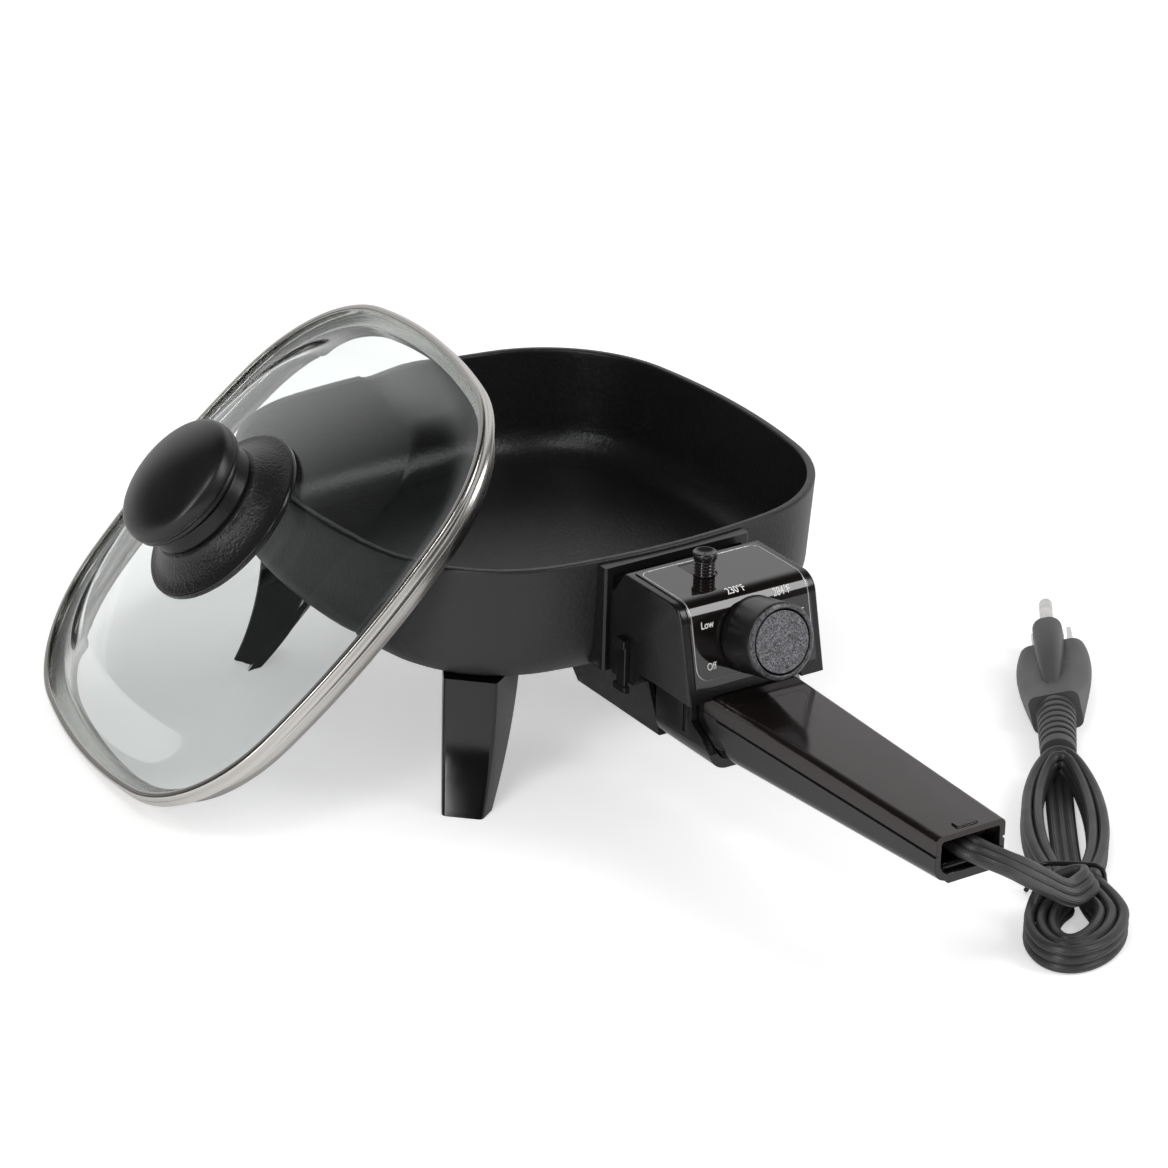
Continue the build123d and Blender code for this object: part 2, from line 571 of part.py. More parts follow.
def dial_knob():
    """Smooth round knob, slightly tapered, hollow behind, with a ring groove round its front recess."""
    front = DIAL_LENGTH
    points = [(0, 5.4), (0, front - INSERT_DEPTH), (DIAL_RADIUS - 2.6, front - INSERT_DEPTH),
              (DIAL_RADIUS - 2.6, front - 0.2), (DIAL_RADIUS - 1.5, front), (DIAL_RADIUS - 0.4, front - 0.9),
              (DIAL_RADIUS, front - 6), (DIAL_RADIUS, DIAL_LIFT), (DIAL_RADIUS - 1.8, DIAL_LIFT),
              (DIAL_RADIUS - 2.2, front - 4.5), (5.5, front - 4.5), (5.5, 5.4)]
    knob = turned(points)
    bore = disc(SHAFT_RADIUS + RUN_GAP, 0, DIAL_LENGTH - 5 + FIT_GAP)
    flat = brick(-SHAFT_RADIUS, SHAFT_RADIUS, SHAFT_RADIUS - 0.9 + RUN_GAP, SHAFT_RADIUS + 1, 0, DIAL_LENGTH)
    return on_face(knob - (bore - flat))


def dial_insert():
    """Speckled disc let into the knob's front, with a raised pointer bar across it."""
    low = DIAL_LENGTH - INSERT_DEPTH
    plate = disc(DIAL_RADIUS - 2.6 - RUN_GAP, low, low + 0.7)
    bar = Pos(0, 0, low) * Rot(0, 0, POINTER_ANGLE) * Box(
        2 * (DIAL_RADIUS - 4), 1.1, 1.1, align=(Align.CENTER, Align.CENTER, Align.MIN))
    return on_face(plate + bar)


POINTER_ANGLE = 204.0    # the pointer's direction at OFF, anticlockwise from the right


# ---- handle -------------------------------------------------------------------------------------
def handle_section(y, half, low, high):
    """Upright rectangle across the handle at one place along it."""
    frame = Plane(origin=(0, -y, 0), x_dir=(1, 0, 0), z_dir=(0, -1, 0))
    return frame * Pos(0, (low + high) / 2) * Rectangle(2 * half, high - low)


def handle_form(inset, overrun=0.0):
    """Outside of the handle, inset all round; overrun carries the taper past both ends."""
    length = HANDLE_END - HANDLE_ROOT
    stretch = overrun / length

    def along(root, end, share):
        return root + (end - root) * share

    faces = []
    for share in (-stretch, 1 + stretch):
        faces.append(handle_section(along(HANDLE_ROOT, HANDLE_END, share),
                                    along(HANDLE_ROOT_HALF, HANDLE_END_HALF, share) - inset,
                                    along(HANDLE_LOW_ROOT, HANDLE_LOW_END, share) + inset,
                                    along(HANDLE_TOP_ROOT, HANDLE_TOP_END, share) - inset))
    form = loft(faces, ruled=True)
    long_edges = form.edges().filter_by(lambda edge: edge.length > length * 0.9).sort_by(Axis.Z)
    form = fillet(long_edges[-2:], HANDLE_TOP_ROUND - inset * 0.5)
    long_edges = form.edges().filter_by(lambda edge: edge.length > length * 0.9).sort_by(Axis.Z)
    return fillet(long_edges[:2], HANDLE_LOW_ROUND - inset * 0.5)


SCREW_SPOTS = (-HANDLE_ROOT - 35.0, -HANDLE_END + 46.0)
SHELL_SCREW_RADIUS = 1.5


def handle_mask(low, high):
    """Slab of space used to split the handle at its seam."""
    return brick(-60, 60, -HANDLE_END - 1, -HANDLE_ROOT + 1, low, high)


def handle_top_shell():
    """Upper half of the handle: open end, two screw bosses hanging from its roof."""
    shell = handle_form(0) & handle_mask(HANDLE_SEAM, 70)
    shell -= handle_form(HANDLE_WALL, 5)
    for y in SCREW_SPOTS:
        boss = post(0, y, HANDLE_SEAM - 2, HANDLE_TOP_END + 1, 3.6)
        shell += boss & handle_form(0.5)
        shell -= post(0, y, HANDLE_SEAM - 3, HANDLE_TOP_END - 2.5, SHELL_SCREW_RADIUS - 0.2)
    latch = brick(-4, 4, -HANDLE_END + 2, -HANDLE_END + 5, HANDLE_TOP_END - 1, HANDLE_TOP_END + 0.6)
    return shell + latch


def handle_bottom_shell():
    """Lower half: deeper tray with a shadow groove under the seam, a foot at the end, screw wells."""
    shell = handle_form(0) & handle_mask(20, HANDLE_SEAM)
    shell -= handle_form(HANDLE_WALL, 5)
    groove = handle_form(-1) - handle_form(0.7, 2)
    shell -= groove & brick(-60, 60, -HANDLE_END - 1, -BOX_FRONT, HANDLE_SEAM - 0.9, HANDLE_SEAM + 1)
    foot = brick(-8, 8, -HANDLE_END, -HANDLE_END + 6, HANDLE_LOW_END - 1.2, HANDLE_LOW_END + 1)
    shell += foot
    for y in SCREW_SPOTS:
        share = (-y - HANDLE_ROOT) / (HANDLE_END - HANDLE_ROOT)
        low = HANDLE_LOW_ROOT + (HANDLE_LOW_END - HANDLE_LOW_ROOT) * share
        shell += post(0, y, low + 1, HANDLE_SEAM - 2, 4.2)
        shell -= post(0, y, low - 2, low + 4, 3.1)
        shell -= post(0, y, low + 3, HANDLE_SEAM, SHELL_SCREW_RADIUS + FIT_GAP)
    return shell


def handle_screws():
    """Two long screws from below that close the handle."""
    screws = []
    for y in SCREW_SPOTS:
        share = (-y - HANDLE_ROOT) / (HANDLE_END - HANDLE_ROOT)
        seat = HANDLE_LOW_ROOT + (HANDLE_LOW_END - HANDLE_LOW_ROOT) * share + 4
        length = HANDLE_TOP_END - 3.5 - seat
        screws.append(screw_up(0, y, seat, length, SHELL_SCREW_RADIUS - 0.25, 2.8, 1.8))
    return Compound(children=screws)


def handle_collar():
    """U-shaped collar under the box that clasps the root of the handle."""
    outer = HANDLE_ROOT_HALF + FIT_GAP + COLLAR_WALL
    low = HANDLE_LOW_ROOT - FIT_GAP - COLLAR_WALL
    points = [(-COLLAR_BACK, BOX_LOW - 0.1), (-COLLAR_BACK, low), (-COLLAR_FRONT, low),
              (-COLLAR_FRONT, low + 6), (-COLLAR_FRONT + 11, HANDLE_SEAM - 4),
              (-COLLAR_FRONT + 11, BOX_LOW - 0.1)]
    collar = side_profile(points, outer)
    long_edges = collar.edges().filter_by(Axis.Y).group_by(Axis.Z)[0]
    collar = fillet(long_edges, HANDLE_LOW_ROUND + COLLAR_WALL)
    cavity = handle_form(-FIT_GAP, 6) & brick(-60, 60, -HANDLE_END, -COLLAR_BACK - COLLAR_WALL, 0, 90)
    gate = HANDLE_ROOT_HALF + FIT_GAP
    collar -= cavity
    collar -= brick(-gate, gate, -COLLAR_FRONT - 1, -COLLAR_BACK - COLLAR_WALL, HANDLE_SEAM, BOX_LOW + 1)
    for side in (-1, 1):
        slot_x = side * outer
        collar -= brick(slot_x - 0.8, slot_x + 0.8, -COLLAR_FRONT + 14, -COLLAR_FRONT + 15.6,
                        HANDLE_LOW_ROOT + 6, BOX_LOW)
    return max(collar.solids(), key=lambda solid: solid.volume)


GUIDE_BACK = HANDLE_END - 9.0
CLAMP_Y = -HANDLE_END + 23.0
CORD_Z = 48.8


def cord_guide():
    """Plate just inside the open end with the window that the cord leaves by."""
    plate = handle_form(HANDLE_WALL + 0.1, 5) & brick(-60, 60, -GUIDE_BACK - 2.4, -GUIDE_BACK, 0, 90)
    window = CORD_RADIUS + 2.6
    return plate - brick(-window, window, -GUIDE_BACK - 4, -GUIDE_BACK + 2, CORD_Z - CORD_RADIUS - 1,
                         CORD_Z + CORD_RADIUS + 1)


def cord_clamp():
    """Clamp block inside the handle that grips the cord, seated on the lower shell."""
    share = (-CLAMP_Y - HANDLE_ROOT) / (HANDLE_END - HANDLE_ROOT)
    floor = HANDLE_LOW_ROOT + (HANDLE_LOW_END - HANDLE_LOW_ROOT) * share + HANDLE_WALL + FIT_GAP
    block = brick(-7.5, 7.5, CLAMP_Y - 4, CLAMP_Y + 4, floor, HANDLE_TOP_END - HANDLE_WALL - FIT_GAP)
    bore = Pos(0, CLAMP_Y, CORD_Z) * Rot(90, 0, 0) * Cylinder(CORD_RADIUS - 0.5, 20)
    return block - bore


# ---- cord, hank and plug ------------------------------------------------------------------------
TAIL = -HANDLE_END       # everything on the table is placed from the handle's open end
CORD_ROUTE = [(0.0, CLAMP_Y - 4, CORD_Z), (0.0, TAIL + 7.0, CORD_Z), (3.6, TAIL - 4.0, 47.4),
              (13.5, TAIL - 8.5, 42.0), (27.5, TAIL - 2.5, 32.0), (43.5, TAIL + 7.0, 20.0),
              (58.9, TAIL + 17.2, 10.4)]
HANK_UPPER = ((89.9, TAIL + 59.7), 41.0, 14.2)     # centre, half length, half width
HANK_LOWER = ((51.5, TAIL + 9.0), 24.5, 16.4)
HANK_HEADING = 53.5


def heading(angle, length):
    """Step of a given length in a compass direction on the table."""
    return length * cos(radians(angle)), length * sin(radians(angle))


def cord_hank():
    """Closed outline of the tied hank: a long and a short loop pinched together at the tie."""
    outline = None
    for (x, y), half_length, half_width in (HANK_UPPER, HANK_LOWER):
        loop = Pos(x, y) * Rot(0, 0, HANK_HEADING) * Ellipse(half_length, half_width)
        outline = loop if outline is None else outline + loop
    return extrude(outline, HANK_HEIGHT)


TIE_SPOT = (65.4, TAIL + 27.7)


def twist_tie():
    """Wire tie bent over the hank at its waist, both feet on the table."""
    across_x, across_y = heading(HANK_HEADING + 90, 1.0)
    foot, rise = 12.0, HANK_HEIGHT + TIE_RADIUS + FIT_GAP
    spots = [(-foot, TIE_RADIUS), (-foot, rise), (foot, rise), (foot, TIE_RADIUS)]
    points = [(TIE_SPOT[0] + across_x * s, TIE_SPOT[1] + across_y * s, z) for s, z in spots]
    return swept_round(FilletPolyline(*points, radius=3.0), TIE_RADIUS)


ROLL_SIN, ROLL_COS = sin(radians(PLUG_ROLL)), cos(radians(PLUG_ROLL))
HEADING_SIN, HEADING_COS = sin(radians(PLUG_HEADING)), cos(radians(PLUG_HEADING))
PLUG_FRAME = Plane(origin=(PLUG_X, PLUG_Y, PLUG_AXIS),
                   x_dir=(-HEADING_SIN * ROLL_COS, HEADING_COS * ROLL_COS, -ROLL_SIN),
                   z_dir=(HEADING_COS, HEADING_SIN, 0))


def on_plug(solid):
    """Place a solid built with Z towards the pins and Y up onto the lying, rolled plug."""
    return PLUG_FRAME.location * solid


GROUND_Y = 5.4           # ground pin above the plug's axis
BODY_STATIONS = ((0.0, 17.5, 14.4, 3.0, -3.4), (0.3, 23.0, 12.8, 5.0, -4.0), (0.58, 26.0, 11.0, 5.0, -4.5),
                 (1.0, 23.4, 10.2, 4.5, -5.1))      # share, width, height, corner, centre height
HOOD_STATIONS = ((0.2, 4.4, 4.8, 1.6, 0.4), (0.6, 9.0, 11.0, 3.8, 2.8), (1.0, 10.4, 12.0, 4.3, 3.7))


def plug_body():
    """Moulded three-pin plug: low wings for the blades and a round hood over the ground pin."""
    faces = [Pos(0, y, PLUG_LENGTH * share) * RectangleRounded(width, height, corner)
             for share, width, height, corner, y in BODY_STATIONS]
    body = loft(faces)
    rounds = [Pos(0, y, PLUG_LENGTH * share) * RectangleRounded(width, height, corner)
              for share, width, height, corner, y in HOOD_STATIONS]
    hood = loft(rounds)
    body += hood
    body -= Pos(0, GROUND_Y, PLUG_LENGTH) * Cylinder(GROUND_RADIUS + RUN_GAP, 20)
    for side in (-1, 1):
        body -= Pos(side * BLADE_PITCH / 2, GROUND_Y - GROUND_OFFSET, PLUG_LENGTH) * Box(
            BLADE_THICK + 2 * RUN_GAP, BLADE_WIDTH + 2 * RUN_GAP, 16)
    return on_plug(body)


def plug_blades():
    """Two flat blades."""
    blades = []
    for side in (-1, 1):
        blade = Pos(side * BLADE_PITCH / 2, GROUND_Y - GROUND_OFFSET, PLUG_LENGTH - 8) * Box(
            BLADE_THICK, BLADE_WIDTH, BLADE_LENGTH + 8, align=(Align.CENTER, Align.CENTER, Align.MIN))
        blade = chamfer(blade.edges().group_by(Axis.Z)[-1].filter_by(Axis.X), 1.2)
        blades.append(on_plug(blade))
    return Compound(children=blades)


def ground_pin():
    """Round ground pin with a domed tip."""
    pin = Pos(0, GROUND_Y, PLUG_LENGTH - 10) * Cylinder(
        GROUND_RADIUS, GROUND_LENGTH + 10, align=(Align.CENTER, Align.CENTER, Align.MIN))
    pin = fillet(pin.edges().group_by(Axis.Z)[-1], GROUND_RADIUS * 0.85)
    return on_plug(pin)


RELIEF_RINGS = 7
RELIEF_START = Vector(PLUG_X + RELIEF_SIDE * HEADING_SIN, PLUG_Y - RELIEF_SIDE * HEADING_COS, RELIEF_AXIS)
RELIEF_DROP = 1.4        # how far the strain relief's tail sinks towards the table


def plug_relief():
    """Ribbed strain relief behind the plug, tapering and sinking towards the table."""
    pitch = RELIEF_LENGTH / (RELIEF_RINGS + 1)
    points = [(0, 0), (RELIEF_RADIUS, 0)]
    for ring in range(RELIEF_RINGS):
        radius = RELIEF_RADIUS * (1 - 0.012 * ring)
        start = pitch * (ring + 0.6)
        points += [(radius, start), (radius - 1.3, start), (radius - 1.3, start + pitch * 0.38),
                   (radius * 0.99, start + pitch * 0.38)]
    points += [(RELIEF_RADIUS * 0.9, RELIEF_LENGTH), (0, RELIEF_LENGTH)]
    sink = atan2(RELIEF_DROP, RELIEF_LENGTH)
    back_x, back_y = heading(PLUG_HEADING, -cos(sink))
    frame = Plane(origin=RELIEF_START, z_dir=(back_x, back_y, -sin(sink)))
    relief = frame.location * turned(points)
    bored = on_plug(Box(60, 60, 60, align=(Align.CENTER, Align.CENTER, Align.MIN)))
    return relief - bored


def cord_tail():
    """Short straight end of the cord between the strain relief and the hank."""
    sink = atan2(RELIEF_DROP, RELIEF_LENGTH)
    start = RELIEF_START + Vector(*heading(PLUG_HEADING, -RELIEF_LENGTH * cos(sink)),
                                                      -RELIEF_LENGTH * sin(sink))
    (x, y), half_length, _ = HANK_UPPER
    reach = heading(HANK_HEADING, half_length - 4.0)
    end = Vector(x + reach[0], y + reach[1], 5.2)
    return swept_round(Line(start, end), CORD_RADIUS)


# ---- lid ----------------------------------------------------------------------------------------
LID_RIM = -LID_OVERHANG                      # inset of the band's outside
SKIRT_INSET = PAN_WALL + SKIRT_GAP
GLASS_TOP = -BAND_SHEET - 0.3                # top of the flange, under the lip
GLASS_LOW = GLASS_TOP - GLASS_THICK
DOME_HALF = PAN_HALF + LID_OVERHANG - GLASS_LEDGE - STEP_RUN
DOME_RADIUS = (DOME_HALF ** 2 + DOME_RISE ** 2) / (2 * DOME_RISE)
CROWN = GLASS_TOP + STEP_RISE + DOME_RISE    # top of the glass at its middle
BAND_FLOOR = GLASS_LOW - BAND_SHEET
SCREW_HOLE = 3.4


def glass_half(top, crown, radius, flange_inset, step_inset):
    """Dome cut from a ball, standing on a stepped bowed square."""
    step = bowed_block(flange_inset, step_inset, top, top + STEP_RISE + DOME_RISE + 3)
    ball = Pos(0, 0, crown - radius) * Sphere(radius)
    return step & ball


def lid_glass():
    """Toughened glass: flat flange, raised step and a shallow dome, drilled for the knob."""
    flange = bowed_block(LID_RIM + BAND_SHEET + 0.2, LID_RIM + BAND_SHEET + 0.2, GLASS_LOW, GLASS_TOP)
    steep = STEP_RUN * (STEP_RISE + DOME_RISE + 3) / STEP_RISE
    outer = LID_RIM + GLASS_LEDGE
    inner = outer + GLASS_THICK * 0.7
    raised = glass_half(GLASS_TOP - 1, CROWN, DOME_RADIUS, outer, outer + steep)
    hollow = glass_half(GLASS_LOW - 1, CROWN - GLASS_THICK, DOME_RADIUS - GLASS_THICK, inner, inner + steep)
    glass = flange + raised - hollow
    return glass - Cylinder(SCREW_HOLE, 80)


def lid_band():
    """Stainless band: rolled lip over the glass, upper wall, ledge on the rim, skirt inside it."""
    top = 0.0
    low = BAND_FLOOR - BAND_SKIRT
    band = bowed_block(LID_RIM, LID_RIM, BAND_FLOOR, top)
    band += bowed_block(SKIRT_INSET, SKIRT_INSET, low, BAND_FLOOR + 0.1)
    band -= bowed_block(LID_RIM + BAND_SHEET, LID_RIM + BAND_SHEET, GLASS_LOW, top - BAND_SHEET)
    band -= bowed_block(LID_RIM + BAND_LIP, LID_RIM + BAND_LIP, -1, top + 1)
    return band - bowed_block(SKIRT_INSET + BAND_SHEET, SKIRT_INSET + BAND_SHEET, low - 1, GLASS_LOW + 0.1)


def dome_drop(radius):
    """How far the dome's surface falls below its crown at a radius."""
    return DOME_RADIUS - sqrt(DOME_RADIUS ** 2 - radius ** 2)


SKIRT_INNER = SKIRT_RADIUS - 3.4
SKIRT_FOOT = CROWN - dome_drop(SKIRT_INNER) + FIT_GAP
SKIRT_TOP = CROWN + SKIRT_HEIGHT
NECK_TOP = SKIRT_TOP + NECK_HEIGHT


def knob_skirt():
    """Flared skirt with a bright bead at its foot, hollow below, standing on a middle post."""
    foot = SKIRT_FOOT
    outer = [(SKIRT_RADIUS - 0.4, foot), (SKIRT_RADIUS, foot + 0.6), (SKIRT_RADIUS, foot + 1.8),
             (SKIRT_RADIUS - 0.8, foot + 2.3), (SKIRT_RADIUS - 2.0, foot + 2.7),
             (SKIRT_RADIUS - 5.0, foot + 4.4), (SKIRT_RADIUS - 7.8, foot + 6.6), (NECK_RADIUS + 1.6, SKIRT_TOP)]
    inner = [(NECK_RADIUS - 2, SKIRT_TOP - KNOB_WALL), (SKIRT_RADIUS - 10.5, foot + 4.6),
             (SKIRT_RADIUS - 7.3, foot + 2.4), (SKIRT_INNER, foot)]
    points = outer + [(0, SKIRT_TOP), (0, CROWN), (6.5, CROWN), (6.5, SKIRT_TOP - KNOB_WALL)] + inner
    return turned(points) - Cylinder(SCREW_RADIUS + RUN_GAP, 2 * (SKIRT_TOP + 1))


SCREW_RADIUS = 2.0


def knob_neck():
    """Short drum between skirt and grip."""
    low, high = SKIRT_TOP, NECK_TOP
    points = [(0, low), (NECK_RADIUS, low), (NECK_RADIUS + 0.6, low + 0.8), (NECK_RADIUS + 0.6, high - 2),
              (NECK_RADIUS - 1.2, high), (0, high)]
    return turned(points) - Cylinder(SCREW_RADIUS + RUN_GAP, 2 * (NECK_TOP + 1))


def lid_knob():
    """Mushroom grip, domed on top and dished below its edge."""
    low, high = NECK_TOP, NECK_TOP + KNOB_HEIGHT
    shoulder = KNOB_RADIUS - KNOB_ROUND

    def crown(radius):
        return Vector(radius, 0, high - KNOB_DOME + sqrt(KNOB_DOME ** 2 - radius ** 2))

    edge = Vector(KNOB_RADIUS, 0, crown(shoulder).Z - 1.4 * KNOB_ROUND)
    dome = ThreePointArc(crown(0), crown(shoulder / 2), crown(shoulder))
    turn_down = ThreePointArc(crown(shoulder), Vector(KNOB_RADIUS - 0.3 * KNOB_ROUND, 0,
                                                      crown(shoulder).Z - 0.55 * KNOB_ROUND), edge)
    lower = Polyline([edge, Vector(KNOB_RADIUS, 0, low + KNOB_HEIGHT * 0.3),
                      Vector(KNOB_RADIUS - 1.6, 0, low + 1.0), Vector(NECK_RADIUS + 0.4, 0, low),
                      Vector(0, 0, low), crown(0)])
    grip = revolve(make_face([dome, turn_down, lower]), Axis.Z)
    grip -= post(0, 0, low - 1, high - 5, SCREW_RADIUS + RUN_GAP)
    return grip


WASHER_THICK = 1.2
WASHER_RADIUS = 9.0


def knob_washers():
    """Rubber and steel washers under the glass."""
    under = CROWN - GLASS_THICK - 0.15
    rubber = turned([(SCREW_RADIUS + 0.3, under - 1.6), (WASHER_RADIUS, under - 1.6),
                     (WASHER_RADIUS, under), (SCREW_RADIUS + 0.3, under)])
    return rubber


def knob_washer_steel():
    """Steel washer below the rubber one."""
    under = CROWN - GLASS_THICK - 0.15 - 1.6
    return turned([(SCREW_RADIUS + 0.2, under - WASHER_THICK), (WASHER_RADIUS - 1, under - WASHER_THICK),
                   (WASHER_RADIUS - 1, under), (SCREW_RADIUS + 0.2, under)])


def knob_screw():
    """Screw up through washers, glass, skirt and neck into the grip."""
    seat = CROWN - GLASS_THICK - 0.15 - 1.6 - WASHER_THICK
    return screw_up(0, 0, seat, NECK_TOP + KNOB_HEIGHT - 6 - seat, SCREW_RADIUS, 4.0, 2.4)


def lid_axes():
    """Down-slope direction and outward normal of the leaning lid."""
    tilt, azimuth, turn = radians(LID_TILT), radians(LID_AZIMUTH), radians(LID_TURN)
    normal = Vector(sin(tilt) * cos(azimuth), sin(tilt) * sin(azimuth), cos(tilt))
    slope = Vector(cos(tilt) * cos(azimuth), cos(tilt) * sin(azimuth), -sin(tilt))
    along = slope * cos(turn) + normal.cross(slope) * sin(turn)
    return along, normal


def lid_place():
    """Where the lid leans: lowest edge on the table, glass a seat clearance off the pan's rim."""
    along, normal = lid_axes()
    across = normal.cross(along)
    rim_edges = bowed_square(0, RIM_Z).edges()
    rim = [edge @ (step / 12) for edge in rim_edges for step in range(12)]
    band_low = bowed_square(SKIRT_INSET, 0).edges()
    band_top = bowed_square(LID_RIM, 0).edges()
    lowest = 0.0
    for edges, height in ((band_low, BAND_FLOOR - BAND_SKIRT), (band_top, 0.0), (band_top, BAND_FLOOR)):
        for edge in edges:
            for step in range(24):
                spot = edge @ (step / 24)
                lowest = min(lowest, (along * spot.X + across * spot.Y + normal * height).Z)
    outward = Vector(cos(radians(LID_AZIMUTH)), sin(radians(LID_AZIMUTH)), 0)
    centre = Vector(-PAN_HALF, LID_Y, -lowest)
    for _ in range(6):
        tightest = -1000.0
        for spot in rim:
            offset = spot - centre
            u, v, height = offset.dot(along), offset.dot(across), offset.dot(normal)
            if abs(u) < DOME_HALF and abs(v) < DOME_HALF:
                under = CROWN - GLASS_THICK - dome_drop(sqrt(u * u + v * v))
                tightest = max(tightest, height - under)
        centre += outward * ((tightest + FIT_GAP) / sin(radians(LID_TILT)))
    return Plane(origin=centre, x_dir=along, z_dir=normal).location


LID_PLACE = lid_place()


def on_lid(solid):
    """Place a solid built about the lid's axis into the leaning pose."""
    return LID_PLACE * solid


# ---- write the sub-parts ------------------------------------------------------------------------
PIECES = {
    "pan": pan, "heating_element": heating_element, "terminal_insulators": terminal_insulators,
    "leg_screws": leg_screws, "handle_bracket": handle_bracket, "bracket_screws": bracket_screws,
    "wall_frame": wall_frame, "control_housing": control_housing, "control_base": control_base,
    "side_latches": side_latches, "dial_panel": dial_panel, "indicator_lens": indicator_lens,
    "neon_lamp": neon_lamp, "thermostat_frame": thermostat_frame, "thermostat_stack": thermostat_stack,
    "bimetal_blade": bimetal_blade, "bush_nut": bush_nut, "dial_shaft": dial_shaft,
    "dial_knob": dial_knob, "dial_insert": dial_insert, "handle_collar": handle_collar,
    "handle_top_shell": handle_top_shell, "handle_bottom_shell": handle_bottom_shell,
    "handle_screws": handle_screws, "cord_guide": cord_guide, "cord_clamp": cord_clamp,
    "cord_hank": cord_hank, "cord_tail": cord_tail, "twist_tie": twist_tie, "plug_relief": plug_relief,
    "plug_body": plug_body, "plug_blades": plug_blades, "ground_pin": ground_pin,
}
LID_PIECES = {
    "lid_glass": lid_glass, "lid_band": lid_band, "knob_skirt": knob_skirt, "knob_neck": knob_neck,
    "lid_knob": lid_knob, "knob_washer_rubber": knob_washers, "knob_washer_steel": knob_washer_steel,
    "knob_screw": knob_screw,
}

for name, angle in CORNERS.items():
    save(name, leg(angle))
for name, make in PIECES.items():
    save(name, make())
for name, make in LID_PIECES.items():
    save(name, on_lid(make()))
save("cord_run", tube(CORD_ROUTE, CORD_RADIUS))
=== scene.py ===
"""Small square electric skillet: cast pan on four legs, dial box, handle, tied cord, glass lid."""
import bmesh
import bpy
import numpy as np
from mathutils import Matrix


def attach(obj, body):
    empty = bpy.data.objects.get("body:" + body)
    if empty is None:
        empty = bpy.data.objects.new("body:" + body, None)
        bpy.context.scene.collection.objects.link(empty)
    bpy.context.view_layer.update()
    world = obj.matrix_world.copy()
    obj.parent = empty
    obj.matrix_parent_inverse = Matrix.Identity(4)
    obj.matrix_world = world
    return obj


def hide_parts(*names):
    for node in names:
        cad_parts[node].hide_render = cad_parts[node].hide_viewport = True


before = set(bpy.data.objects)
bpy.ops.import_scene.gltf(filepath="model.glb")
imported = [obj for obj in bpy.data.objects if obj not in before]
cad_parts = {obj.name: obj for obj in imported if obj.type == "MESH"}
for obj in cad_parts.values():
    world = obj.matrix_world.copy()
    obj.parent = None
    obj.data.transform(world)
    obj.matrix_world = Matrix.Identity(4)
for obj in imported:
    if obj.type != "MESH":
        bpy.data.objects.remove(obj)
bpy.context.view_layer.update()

# ---- camera ----
# Long lens on the handle's left, about a metre and a half away. It looks down by some 25 degrees
# and is rolled by a degree and a half.
VIEW_TURN, VIEW_RISE, VIEW_ROLL = np.radians([-34.243, 24.646, 1.419])
VIEW_DISTANCE = 1.576707
FRAME_SIDE = 1168                        # pixels; the focal length and origin are shares of it
FOCAL_SHARE = 4525.439 / FRAME_SIDE
ORIGIN_ACROSS, ORIGIN_UP = -63.478 / FRAME_SIDE, -101.379 / FRAME_SIDE
SENSOR_WIDTH = 36.0


def view_axes(turn, rise, roll):
    """Rows right, up and back: level axes turned about Z, raised, then rolled about back."""
    back = np.array([np.sin(turn) * np.cos(rise), -np.cos(turn) * np.cos(rise), np.sin(rise)])
    level = np.array([np.cos(turn), np.sin(turn), 0.0])
    upright = np.cross(back, level)
    right = np.cos(roll) * level + np.sin(roll) * upright
    up = np.cos(roll) * upright - np.sin(roll) * level
    return np.array([right, up, back])


def show(name, data):
    """Object of a mesh, lamp or camera, linked to the scene."""
    thing = bpy.data.objects.new(name, data)
    bpy.context.scene.collection.objects.link(thing)
    return thing


def placed(axes, place):
    """Matrix whose columns are three axes and a place."""
    matrix = np.eye(4)
    matrix[:3, :3], matrix[:3, 3] = np.transpose(axes), place
    return Matrix(matrix.tolist())


axes = view_axes(VIEW_TURN, VIEW_RISE, VIEW_ROLL)
offset = np.array([-ORIGIN_ACROSS, -ORIGIN_UP, 0.0]) * VIEW_DISTANCE / FOCAL_SHARE
camera_data = bpy.data.cameras.new("view")
camera_data.sensor_width = SENSOR_WIDTH
camera_data.lens = FOCAL_SHARE * SENSOR_WIDTH
camera_data.clip_end = 20.0
camera = show("view", camera_data)
camera.matrix_world = placed(axes, (offset + [0, 0, VIEW_DISTANCE]) @ axes)
bpy.context.scene.camera = camera

# ---- cord ----
# Flat three-core cord, three round jackets moulded side by side, folded in a long and a short loop.
# It leaves the handle lying flat, turns on edge on its way down to the table and stays so round the
# loops. It lies down again for the tail, which runs under the long loop's end to the plug.
MM = 0.001
CORD_WIDTH, CORD_THICK = 9.5, 3.4
WEB_SHARE, RIB_SHARE, RIB_PITCH = 0.42, 0.045, 0.61
LEAD_LENGTH, TAIL_LENGTH, CORD_STEP = 0.104, 0.098, 0.0016
EDGE = CORD_WIDTH / 2 + 0.1              # height of the centre line where the cord is on edge
CLAMP_Y, CORD_Z = -230.0, 48.8
HANK_HEADING = np.radians(53.5)
HANK_STEP = np.array([np.cos(HANK_HEADING), np.sin(HANK_HEADING)])
HANK_WAIST = np.array([65.4, -221.3])
TURN_PITCH = 3.9                         # each turn lies that far inside the last one
SHORT_CENTRE, SHORT_HALF, SHORT_LEAN = (-25.0, -0.5), (24.0, 14.8), np.radians(14.0)
SHORT_ANGLES = (150, 118, 90, 60, 28, 0, -28, -60, -90, -118)
LONG_CENTRE, LONG_HALF, LONG_LIFT = 40.5, (44.0, 12.9), 4.2
LONG_ANGLES = (-150, -118, -90, -60, -28, 0, 28, 60, 90, 118, 150)


